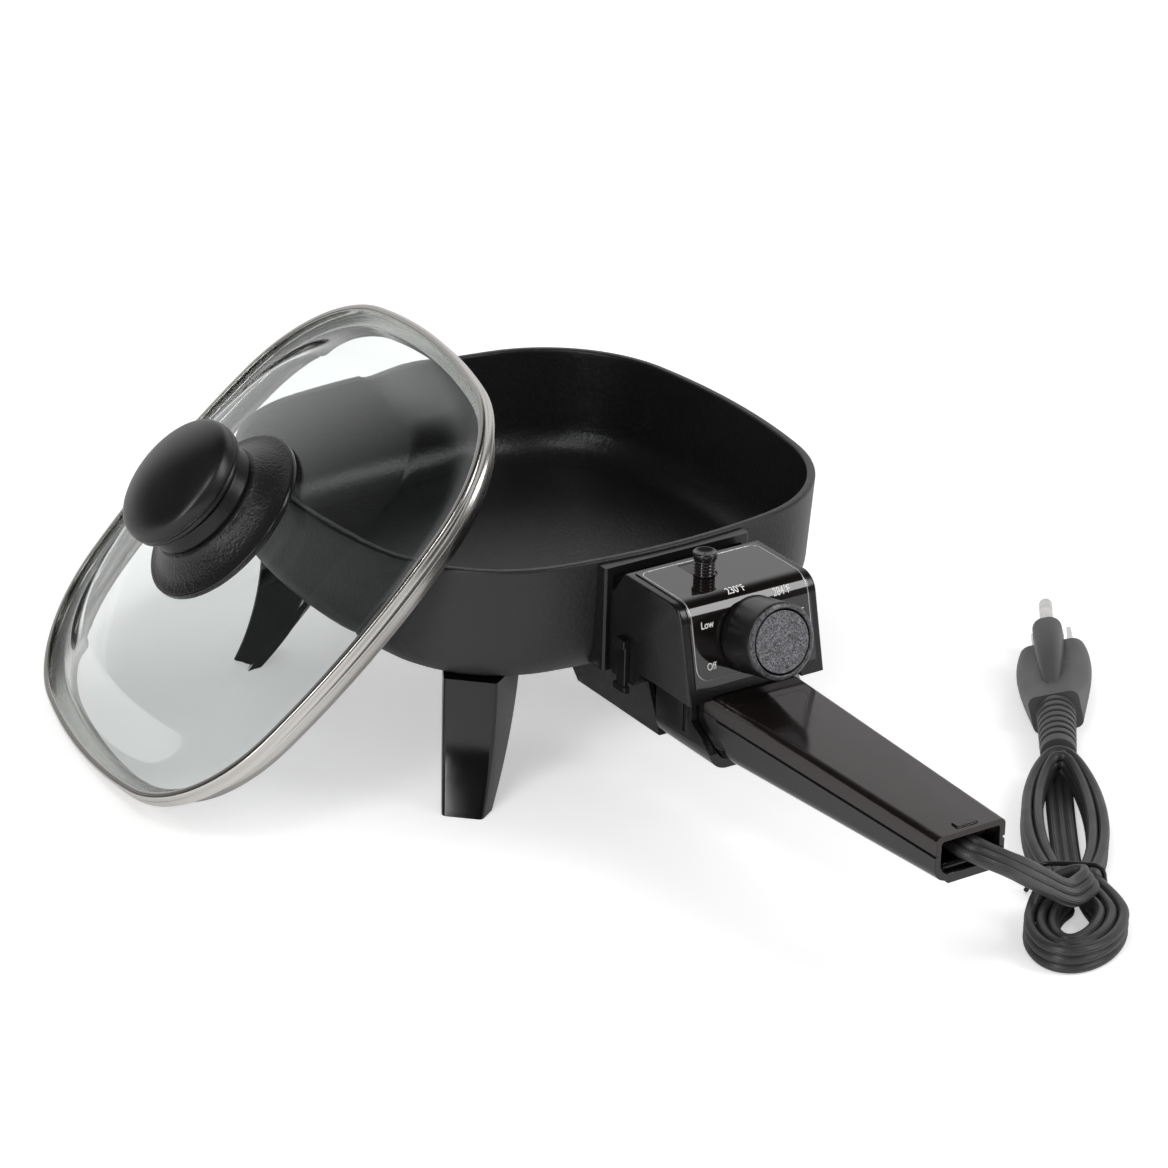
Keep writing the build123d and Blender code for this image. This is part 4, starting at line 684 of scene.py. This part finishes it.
white_print = Finish("white_print", Roughness=0.5)
white_print.feed(Base_Color=white_print.mix(white_print.noise(white_print.place(), 2500.0),
                                            (0.80, 0.80, 0.79), (0.92, 0.92, 0.91)))
labels = [("mark_off", "Off", -16.9, -16.4, 3.4, 0.8), ("mark_low", "Low", -17.1, -2.7, 3.5, 0.8),
          ("mark_warm", "230°F", -2.7, 6.3, 4.4, 0.70),
          ("mark_medium", "284°F", 12.9, 1.8, 3.9, 0.74),
          ("mark_high", "338°F", 17.2, -6.6, 3.6, 0.78)]  # name, words, across, along, size, width
LETTER_DEPTH, LETTER_SWELL, LETTER_LIFT = 0.05, 0.012, 0.06
for name, words, across, along, size, width in labels:
    writing = bpy.data.curves.new(name, "FONT")
    writing.body, writing.size, writing.align_x = words, size, "CENTER"
    writing.extrude, writing.offset = LETTER_DEPTH, LETTER_SWELL
    holder = bpy.data.objects.new(name + "_text", writing)
    letters = bpy.data.meshes.new_from_object(holder)
    bpy.data.objects.remove(holder)
    spots = np.empty(len(letters.vertices) * 3)
    letters.vertices.foreach_get("co", spots)
    x, y, lift = spots.reshape(-1, 3).T
    printed = on_panel(across + x * width, along + y, LETTER_LIFT + lift) * MM
    letters.vertices.foreach_set("co", printed.ravel())
    letters.name = name
    label = show(name, letters)
    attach(label, "skillet")
    white_print.wear(label)

# ---- indicator lamp ----
# Smoked plastic lens with five ridges and a dished top. It stands on the crown of the box with its
# foot let into it, over a small glow lamp.
LAMP_X, LAMP_Y, LAMP_RADIUS, LAMP_BORE, LAMP_HEIGHT = -4.5, -112.8, 4.0, 2.1, 8.2
RIDGES = 5
RIDGE_SHAPE = ((0.9, 0.0), (0.45, 0.08), (0.4, 0.2), (0.4, 0.5), (0.45, 0.6), (0.9, 0.66),
               (0.9, 0.98))              # cut into the radius, share of the ridge's height
ridge = LAMP_HEIGHT / (RIDGES + 2)
wide, foot, top = LAMP_RADIUS, BOX_TOP, BOX_TOP + LAMP_HEIGHT
ridges = [(wide - cut, foot + (step + share) * ridge)
          for step in range(RIDGES) for cut, share in RIDGE_SHAPE]
lens_profile = np.vstack([
    [(LAMP_BORE, foot - 5), (wide - 1.2, foot - 5), (wide - 1.2, foot - 0.01)], ridges,
    [(wide - 0.1, foot + RIDGES * ridge), (wide, foot + RIDGES * ridge + 0.1)],
    bend((wide - 0.6, top - 0.6), 0.6, 0, 140),
    [(wide - 1.5, top - 0.5), (wide - 2.2, top - 0.85), (0.6, top - 1.0), (0.05, top - 1.0),
     (0.05, top - 2.4), (1.4, top - 2.5), (LAMP_BORE, top - 3.0)]])
lens = turned("indicator_lens_ridged", lens_profile, lambda p: p + [LAMP_X, LAMP_Y, 0.0], 48)
smoked = moulding("smoked_lens", (0.010, 0.009, 0.009), (0.020, 0.017, 0.017), 0.08, 0.18, 300.0,
                  0.00003, Specular_IOR_Level=0.6, Coat_Weight=0.3)
smoked.wear(lens)
stand_in(lens, "smoked_lens", "indicator_lens")
lamp_glass = Finish("lamp_glass", Base_Color=(0.9, 0.72, 0.6), Transmission_Weight=0.7)
lamp_glass.feed(Roughness=lamp_glass.noise(lamp_glass.place(), 300.0) * 0.1 + 0.04)
lamp_glass.wear("neon_lamp")

# ---- dial ----
# Round grip moulded black, slightly waisted, with a groove round its front and a painted highlight,
# a speckled light grey ring, on its front bevel; a grey speckled disc with a raised pointer is let
# into it. It turns with the brass shaft.
DIAL_Z, DIAL_RADIUS, DIAL_LENGTH, DIAL_LIFT, DIAL_BORE = 74.2, 12.8, 17.0, 0.8, 3.06
DIAL_Y = -BOX_FRONT + (DIAL_Z - BOX_LOW) * np.tan(FACE_LEAN)


def on_face(points):
    """Points about the dial's axis, Z outwards and Y up the face, to their place on the box."""
    return (np.array([0.0, DIAL_Y, DIAL_Z]) + points[..., :1] * [1.0, 0.0, 0.0]
            + points[..., 1:2] * face_up + points[..., 2:] * face_out)


front, wide, foot = DIAL_LENGTH, DIAL_RADIUS, DIAL_LIFT
knob_profile = np.vstack([
    [(DIAL_BORE, 5.4), (5.5, 5.4), (5.5, front - 4.5), (wide - 2.2, front - 4.5),
     (wide - 1.8, foot + 0.3), (wide - 1.5, foot), (wide - 0.3, foot), (wide, foot + 0.3),
     (wide - 0.12, 4.0), (wide - 0.2, front / 2), (wide - 0.1, front - 4.0)],
    bend((wide - 0.9, front - 1.5), 0.9, 0, 50, 5), [(wide - 1.0, front - 0.25)],
    bend((wide - 1.6, front - 0.35), 0.35, 60, 180, 6),
    [(wide - 1.98, front - 0.9), (wide - 2.0, front - 1.5), (3.5, front - 1.5),
     (DIAL_BORE, front - 1.5)]])
dial_grip = turned("dial_grip", knob_profile, on_face, 96, body="dial")
grip_satin = moulding("dial_satin", None, None, 0.27, 0.36, 1100.0, 0.00008)
reach = grip_satin.parts(grip_satin.place(shift=(0.0, -DIAL_Y * MM, -DIAL_Z * MM)))
outward = reach[1] * float(face_out[1]) + reach[2] * float(face_out[2])
# painted highlight: a light grey ring on the grip's front bevel, broken up by speckle
painted_rim_highlight = outward.ramp((front - 1.0) * MM, (front - 0.45) * MM)
highlight_speckle = grip_satin.noise(grip_satin.place(), 1100.0, 3.0, 0.7).ramp(0.42, 0.6, 0.25, 1.0)
grip_satin.feed(Base_Color=grip_satin.mix(painted_rim_highlight * highlight_speckle, (0.009, 0.009, 0.009),
                                          (0.15, 0.15, 0.16)))
grip_satin.wear(dial_grip)
stand_in(dial_grip, "black_gloss", "dial_knob")
speckle = Finish("speckled_insert")
grit = speckle.noise(speckle.place(), 1700.0, 4.0, 0.75)
speckle.feed(Base_Color=speckle.mix(grit.ramp(0.38, 0.64), (0.030, 0.030, 0.034),
                                    (0.27, 0.27, 0.29)),
             Roughness=grit * 0.3 + 0.25, Normal=speckle.bump(grit, 0.55, 0.0003))
speckle.wear(softened("dial_insert", 0.22, 3, "grey_insert", "dial"))

# ---- handle ----
# Two long phenolic shells screwed together from below, the upper one polished. The cord is clamped
# inside, and leaves by a window in a plate just inside the open end, over a low sill.
SILL_HALF, SILL_Y, SILL_Z, SILL_THICK, SILL_HIGH = 11.8, -246.6, 42.4, 1.4, 2.8
handle_gloss = moulding("handle_gloss", (0.0085, 0.0065, 0.0065), (0.0130, 0.0105, 0.0105), 0.08,
                        0.15, 90.0, 0.00005, Specular_IOR_Level=0.6,
                        Specular_Tint=(1.0, 0.88, 0.89))
handle_gloss.wear(softened("handle_top_shell", 0.4, 3, "black_gloss"))
handle_satin = moulding("handle_satin", (0.0075, 0.0068, 0.0070), (0.0120, 0.0110, 0.0112), 0.12,
                        0.20, 200.0, 0.00006, Specular_IOR_Level=0.55)
handle_satin.wear(softened("handle_bottom_shell", 0.35), softened("cord_guide", 0.3, 2),
                  softened("cord_clamp", 0.4, 2))
wide, top = SILL_THICK / 2, SILL_HIGH
end_plate = carried("handle_end_plate", [(-SILL_HALF, SILL_Y), (SILL_HALF, SILL_Y)], SILL_Z,
                    [(-wide, 0.0), (wide, 0.0), (wide, top), (-wide, top)])
handle_satin.wear(end_plate)

# ---- wire tie ----
# Plastic-coated wire bent closely over the waist of the hank, where both loops of the cord meet.
# Its two ends are on the table.
WIRE_RADIUS, WIRE_STEP = 0.8, 0.0008
tie_spots = [(3.0, 14.0, 0.9), (2.8, 11.8, 4.5), (2.6, 10.9, 10.9), (2.8, 4.0, 11.4),
             (3.4, -4.0, 11.2), (3.2, -10.2, 10.9), (2.8, -11.2, 4.0), (2.4, -12.6, 0.9)]
tie_route = np.array([on_table(*spot) for spot in tie_spots]) * MM
tie_line = evenly(smooth_line("tie_route", tie_route), WIRE_STEP)
tie_ahead = unit(np.gradient(tie_line, axis=0))
tie_side = unit(np.cross(tie_ahead, [*HANK_STEP, 0.0]))
tie_ring = bend((0.0, 0.0), WIRE_RADIUS * MM, 0, 337.5, 16)
tie_up = np.cross(tie_side, tie_ahead)
tie = grid_piece("twist_tie_wire", swept(tie_line, tie_side, tie_up, tie_ring))
tie_coat = moulding("tie_coat", (0.012, 0.012, 0.012), (0.020, 0.020, 0.020), 0.25, 0.4, 600.0,
                    0.0001)
tie_coat.wear(tie)
stand_in(tie, "tie_plastic", "twist_tie")

# ---- plug ----
# Three-pin plug moulded on the cord in matte rubber: a body with two low wings and a round hood
# over the ground pin, a ringed strain relief behind it, two plated blades and a plated round pin.
plug_rubber = moulding("plug_rubber", (0.066, 0.063, 0.064), (0.085, 0.082, 0.083), 0.36, 0.50,
                       1300.0, 0.0002)
plug_pieces = [softened("plug_body", 0.5, 3, "plug_rubber"),
               softened("plug_relief", 0.25, 2, "plug_rubber"),
               softened("plug_blades", 0.2, 2, "plated_steel"),
               softened("ground_pin", 0.1, 2, "plated_steel")]
plug_rubber.wear(*plug_pieces[:2])
plated.wear(*plug_pieces[2:])

# ---- lid ----
# Loose lid leaning on the pan's rim with its lower edge on the table. Its glass is pressed with a
# flat flange that eases up into a shallow dome; a brushed stainless band is rolled over the flange.
LID_SPOT = np.array([-95.3942, 17.3358, 69.4563])
LID_TILT, LID_AZIMUTH, LID_TURN = np.radians([45.1, 168.2, 3.6])
LID_RIM, BAND_SHEET, BAND_GAP = -2.5, 0.6, 0.2
GLASS_TOP, GLASS_LOW, GLASS_THICK = -0.9, -2.1, 1.2
GLASS_EASE, DOME_RADIUS, CROWN = (3.2, 24.0), 305.3125, 16.1
GLASS_HOLE, SHOULDER_ROWS, DOME_ROWS = 3.4, 30, 22
downhill = np.array([np.cos(LID_AZIMUTH), np.sin(LID_AZIMUTH), 0.0])
plumb = np.array([0.0, 0.0, 1.0])
lid_normal = np.sin(LID_TILT) * downhill + np.cos(LID_TILT) * plumb
lid_slope = np.cos(LID_TILT) * downhill - np.sin(LID_TILT) * plumb
lid_along = lid_slope * np.cos(LID_TURN) + np.cross(lid_normal, lid_slope) * np.sin(LID_TURN)
lid_across = np.cross(lid_normal, lid_along)


def leaning(points):
    """Points about the lid's axis to their place on the leaning lid."""
    return (LID_SPOT + points[..., :1] * lid_along + points[..., 1:2] * lid_across
            + points[..., 2:] * lid_normal)


def on_glass(level, inset):
    """Level points lifted to the glass: flange at the edge, eased up to a ball's cap."""
    radius = np.linalg.norm(level, axis=-1)
    dome = CROWN - DOME_RADIUS + np.sqrt(DOME_RADIUS ** 2 - radius ** 2)
    return lifted(level, GLASS_TOP + (dome - GLASS_TOP) * smoothstep(*GLASS_EASE, inset))


glass_edge = LID_RIM + BAND_SHEET + BAND_GAP
insets = np.array([glass_edge + 0.5, glass_edge + 2.5, *np.linspace(*GLASS_EASE, SHOULDER_ROWS)])
eased = RIM_POINTS[None] - insets[:, None, None] * RIM_NORMALS[None]
hole = GLASS_HOLE * headings(np.arctan2(RIM_POINTS[:, 1], RIM_POINTS[:, 0]))
share = np.linspace(0, 1, DOME_ROWS)[1:, None, None]
domed = eased[-1][None] * (1 - share) + hole[None] * share
top_rows = np.concatenate([on_glass(eased, insets[:, None]), on_glass(domed, GLASS_EASE[1])])
around_glass = np.roll(top_rows, -1, 1) - np.roll(top_rows, 1, 1)
glass_normals = unit(np.cross(around_glass, np.gradient(top_rows, axis=0)))
low_rows = (top_rows - GLASS_THICK * glass_normals)[::-1]
edge_rows = rim_rows([(glass_edge + 0.15, GLASS_LOW + 0.15), (glass_edge, GLASS_LOW + 0.5),
                      (glass_edge, GLASS_TOP - 0.5), (glass_edge + 0.15, GLASS_TOP - 0.15)])
glass_points = np.concatenate([top_rows, low_rows, edge_rows])
glass = grid_piece("lid_glass_pressed", leaning(glass_points) * MM, wrap=True, body="lid")
clear = Finish("clear_glass", Transmission_Weight=1.0, IOR=1.52, Specular_IOR_Level=0.5)
spot = clear.place()
clear.feed(Base_Color=clear.mix(clear.noise(spot, 9.0, 2.0), (0.915, 0.955, 0.945),
                                (0.935, 0.965, 0.955)),
           Roughness=clear.noise(spot, 20.0, 2.0) * 0.012)
clear.wear(glass)
stand_in(glass, "lid_glass", "lid_glass")

BAND_LIP, BAND_FLOOR, BAND_FOOT, SKIRT_INSET = 2.6, -5.5, -12.3, 3.5
rim, lip_end, floor = LID_RIM, LID_RIM + BAND_LIP, BAND_FLOOR
skirt_out, skirt_in, foot = SKIRT_INSET, SKIRT_INSET + BAND_SHEET, BAND_FOOT
band_profile = np.vstack([
    [(skirt_out, foot + 0.1), (skirt_out - 0.02, floor - 1.0)],
    bend((skirt_out - 0.7, floor - 0.7), 0.7, 0, 90, 5),
    bend((rim + 0.7, floor + 0.7), 0.7, 270, 180, 6),
    [(rim, floor + 1.2), (rim + 0.22, floor + 1.45), (rim + 0.25, -2.2), (rim, -1.9), (rim, -1.2)],
    bend((rim + 1.0, -1.0), 1.0, 180, 90), [(lip_end - 0.6, 0.0)],
    bend((lip_end - 0.3, -0.3), 0.3, 90, -90, 7),
    [(rim + 1.2, -0.6), (rim + 0.7, -1.1), (rim + BAND_SHEET + 0.05, -4.5),
     (rim + 1.0, floor + BAND_SHEET), (skirt_out + 0.2, floor + BAND_SHEET), (skirt_in, floor),
     (skirt_in, foot + 0.1), (skirt_out + BAND_SHEET / 2, foot)]])
band = grid_piece("lid_band_rolled", leaning(rim_rows(band_profile)) * MM, wrap=True, body="lid")
around = travelled(np.vstack([RIM_POINTS, RIM_POINTS[:1]]))[:-1] * MM
note(band, "around", np.tile(around, len(band_profile)))
note(band, "over", np.repeat(travelled(band_profile) * MM, len(around)))
brushed = Finish("brushed_band", Metallic=1.0)
streak_at = brushed.node("ShaderNodeCombineXYZ", None, brushed.noted("around") * 14.0,
                         brushed.noted("over") * 2600.0, 0.0)
streak = brushed.noise(streak_at, 1.0, 4.0, 0.65)
brushed.feed(Base_Color=brushed.mix(streak.ramp(0.3, 0.7), (0.56, 0.54, 0.515),
                                    (0.72, 0.70, 0.675)),
             Roughness=streak.ramp(0.3, 0.7, 0.18, 0.30),
             Normal=brushed.bump(streak, 0.12, 0.00004))
brushed.wear(band)
stand_in(band, "stainless", "lid_band")

# ---- lid knob ----
# Mushroom grip, drum and flared skirt moulded in black phenolic, stacked on the glass and drawn
# together by one screw from below through a steel and a rubber washer.
SKIRT_RADIUS, SKIRT_FOOT, SKIRT_TOP, SKIRT_STEPS = 32.3, 15.03, 24.7, 120
NECK_RADIUS, NECK_TOP, KNOB_RADIUS, KNOB_HEIGHT, KNOB_DOME = 20.2, 32.7, 23.8, 14.1, 46.0
SCREW_RADIUS, KNOB_SHOULDER, SHOULDER_REACH = 2.05, 4.4, 3.4


def smooth_profile(points, steps):
    """Quadratic spline through the ends of (radius, height) control points, read as rows."""
    flat_points = np.column_stack([np.asarray(points, float), np.zeros(len(points))])
    return evenly(smooth_line("profile", flat_points), steps)[:, :2]


wide, foot, top = SKIRT_RADIUS, SKIRT_FOOT, SKIRT_TOP
flare = smooth_profile([(wide - 0.9, foot + 2.25), (wide - 3.6, foot + 2.9),
                        (wide - 7.0, foot + 5.4), (NECK_RADIUS + 2.0, top - 1.4),
                        (NECK_RADIUS + 1.6, top)], 0.7)
skirt_profile = np.vstack([
    [(28.9, foot), (wide - 0.5, foot)],
    bend((wide - 0.55, foot + 0.55), 0.55, -80, 0, 5),
    bend((wide - 0.5, foot + 1.7), 0.5, 0, 100, 6), flare,
    [(NECK_RADIUS - 1.0, top), (SCREW_RADIUS, top), (SCREW_RADIUS, CROWN), (6.5, CROWN),
     (6.5, top - 2.4), (19.0, top - 2.4), (wide - 10.5, foot + 4.6), (wide - 7.3, foot + 2.4)]])
skirt = turned("knob_skirt_flared", skirt_profile, leaning, SKIRT_STEPS, body="lid")
bead = np.zeros(len(skirt_profile))
bead[1:13] = 1.0                         # rows of the polished bead round the foot
note(skirt, "bead", np.repeat(bead, SKIRT_STEPS))
wide, low, top = NECK_RADIUS, SKIRT_TOP, NECK_TOP
neck_profile = np.vstack([
    [(SCREW_RADIUS, low), (wide - 0.3, low), (wide, low + 0.3), (wide, low + 0.9),
     (wide + 0.8, low + 1.3)],
    bend((wide + 0.7, low + 2.0), 0.5, -60, 20, 4),
    [(wide + 1.2, low + 4.0), (wide + 1.0, top - 1.6)],
    bend((wide + 0.4, top - 1.5), 0.6, 10, 90, 5),
    [(wide - 0.8, top - 0.8), (wide - 1.2, top), (SCREW_RADIUS, top)]])
neck = turned("knob_neck_drum", neck_profile, leaning, 96, body="lid")
wide, low, top = KNOB_RADIUS, NECK_TOP, NECK_TOP + KNOB_HEIGHT
crown_angle = np.degrees(np.arcsin((wide - KNOB_SHOULDER) / KNOB_DOME))
shoulder_z = top - KNOB_DOME + KNOB_DOME * np.cos(np.radians(crown_angle))
tangent_z = shoulder_z - SHOULDER_REACH * np.tan(np.radians(crown_angle))
grip_profile = np.vstack([
    [(SCREW_RADIUS, low), (NECK_RADIUS + 0.2, low), (NECK_RADIUS + 1.2, low + 0.25)],
    bend((wide - 1.5, low + 1.4), 1.2, -75, 0, 6),
    [(wide - 0.3, low + 1.9), (wide - 0.55, low + 2.15), (wide - 0.3, low + 2.4),
     (wide - 0.1, low + 2.6), (wide, low + 3.4)],
    smooth_profile([(wide, low + 3.6), (wide, shoulder_z - 4.6),
                    (wide - KNOB_SHOULDER + SHOULDER_REACH, tangent_z),
                    (wide - KNOB_SHOULDER, shoulder_z)], 0.6)[:-1],
    bend((0.0, top - KNOB_DOME), KNOB_DOME, 90 - crown_angle, 89.6, 24),
    [(0.02, top), (0.02, top - 5.0), (SCREW_RADIUS, top - 5.0)]])
grip = turned("lid_knob_dome", grip_profile, leaning, 120, body="lid")
knob_satin = moulding("knob_satin", (0.0095, 0.0085, 0.0088), (0.0140, 0.0128, 0.0130), 0.30, 0.38,
                      420.0, 0.00006)
knob_satin.wear(grip, neck)
leather = Finish("knob_leather")
spot = leather.place()
polished = leather.noted("bead")
cells = leather.node("ShaderNodeTexVoronoi", {"feature": "SMOOTH_F1"}, Vector=spot, Scale=1150.0)
crease = cells + leather.noise(spot, 1700.0, 3.0) * 0.6
leather.feed(Base_Color=leather.mix(leather.noise(spot, 30.0).ramp(0.3, 0.7),
                                    (0.0080, 0.0072, 0.0074), (0.0125, 0.0115, 0.0118)),
             Roughness=0.38 - polished * 0.2,
             Normal=leather.bump(crease * (1 - polished), 0.7, 0.00028))
leather.wear(skirt)
for piece, node in ((skirt, "knob_skirt"), (neck, "knob_neck"), (grip, "lid_knob")):
    stand_in(piece, "black_moulding", node)
washer_rubber = moulding("washer_rubber", (0.04, 0.035, 0.035), (0.06, 0.05, 0.05), 0.5, 0.7, 800.0,
                         0.0001)
washer_rubber.wear(softened("knob_washer_rubber", 0.25, 2, "seal_rubber", "lid"))
plated.wear(softened("knob_washer_steel", 0.2, 2, "plated_steel", "lid"))
zinc.wear(softened("knob_screw", 0.15, 2, "screw_steel", "lid"))

# ---- table and light ----
# Plain white table in a soft studio. A pale screen behind the object darkens overhead and to the
# left, the front is dim, and matt surfaces get an even fill. A tall lamp stands on the left, a large
# one high on the right, and a small one over the left shoulder.
FRONT_LEVEL, SCREEN_LEVEL, FILL_LEVEL = 0.10, 0.84, 0.46
GLOW_MIRRORED, GLOW_THROUGH, GLOW_SEEN = 0.15, 0.28, 0.45
BEHIND_RANGE, OVERHEAD_RANGE, LEFT_RANGE, HORIZON = (0.30, 0.66), (0.55, 0.85), (-0.5, 0.05), 0.02
table_mesh = bpy.data.meshes.new("table")
table_mesh.from_pydata([(-6, -6, 0), (6, -6, 0), (6, 6, 0), (-6, 6, 0)], [], [(0, 1, 2, 3)])
table = show("table", table_mesh)
surface = Finish("table_white", Base_Color=(0.86, 0.86, 0.86), Roughness=0.7,
                 Specular_IOR_Level=0.2, Emission_Strength=1.0)
glow = (surface.ray("Glossy") * GLOW_MIRRORED + surface.ray("Transmission") * GLOW_THROUGH
        + surface.ray("Camera") * GLOW_SEEN).of("MINIMUM", 1.0)
surface.feed(Emission_Color=surface.mix(glow, (0.0, 0.0, 0.0), (1.0, 1.0, 1.0)))
surface.wear(table)

world = bpy.data.worlds.new("studio")
sky = Tree(world)
sight = sky.parts(sky.node("ShaderNodeTexCoord", out="Generated"))
behind = sight[0] * float(-axes[2, 0]) + sight[1] * float(-axes[2, 1])
screen = behind.ramp(*BEHIND_RANGE, FRONT_LEVEL, SCREEN_LEVEL)
overhead = sight[2].ramp(*OVERHEAD_RANGE, 1.0, FRONT_LEVEL)
beside = sight[0].ramp(*LEFT_RANGE, FRONT_LEVEL, 1.0)
studio = screen * (overhead * beside)
lit = studio.of("MAXIMUM", sky.ray("Diffuse") * FILL_LEVEL)
seen_through = sky.ray("Transmission") * sight[2].of("LESS_THAN", HORIZON)
level = sky.ray("Camera").of("MAXIMUM", seen_through).of("MAXIMUM", lit)
background = sky.nodes["Background"]
sky.join((1.0, 1.0, 1.0), background.inputs["Color"])
sky.join(level, background.inputs["Strength"])
bpy.context.scene.world = world


def softbox(name, place, target, width, height, power):
    """Rectangular lamp at a place, its face turned to a target."""
    data = bpy.data.lights.new(name, "AREA")
    data.shape, data.size, data.size_y, data.energy = "RECTANGLE", width, height, power
    back = unit(np.subtract(place, target))
    side = unit(np.cross([0.0, 0.0, 1.0], back))
    show(name, data).matrix_world = placed([side, np.cross(back, side), back], place)


softbox("left_lamp", (-1.373, -0.675, 0.62), (0.0, -0.05, 0.05), 0.33, 1.1, 7.5)
softbox("right_lamp", (1.0, -1.1, 1.35), (0.0, -0.05, 0.05), 0.6, 1.2, 12.0)
softbox("upper_lamp", (-0.75, -0.6, 1.4), (0.0, 0.0, 0.05), 0.4, 0.4, 4.0)
bpy.context.scene.view_settings.view_transform = "Standard"
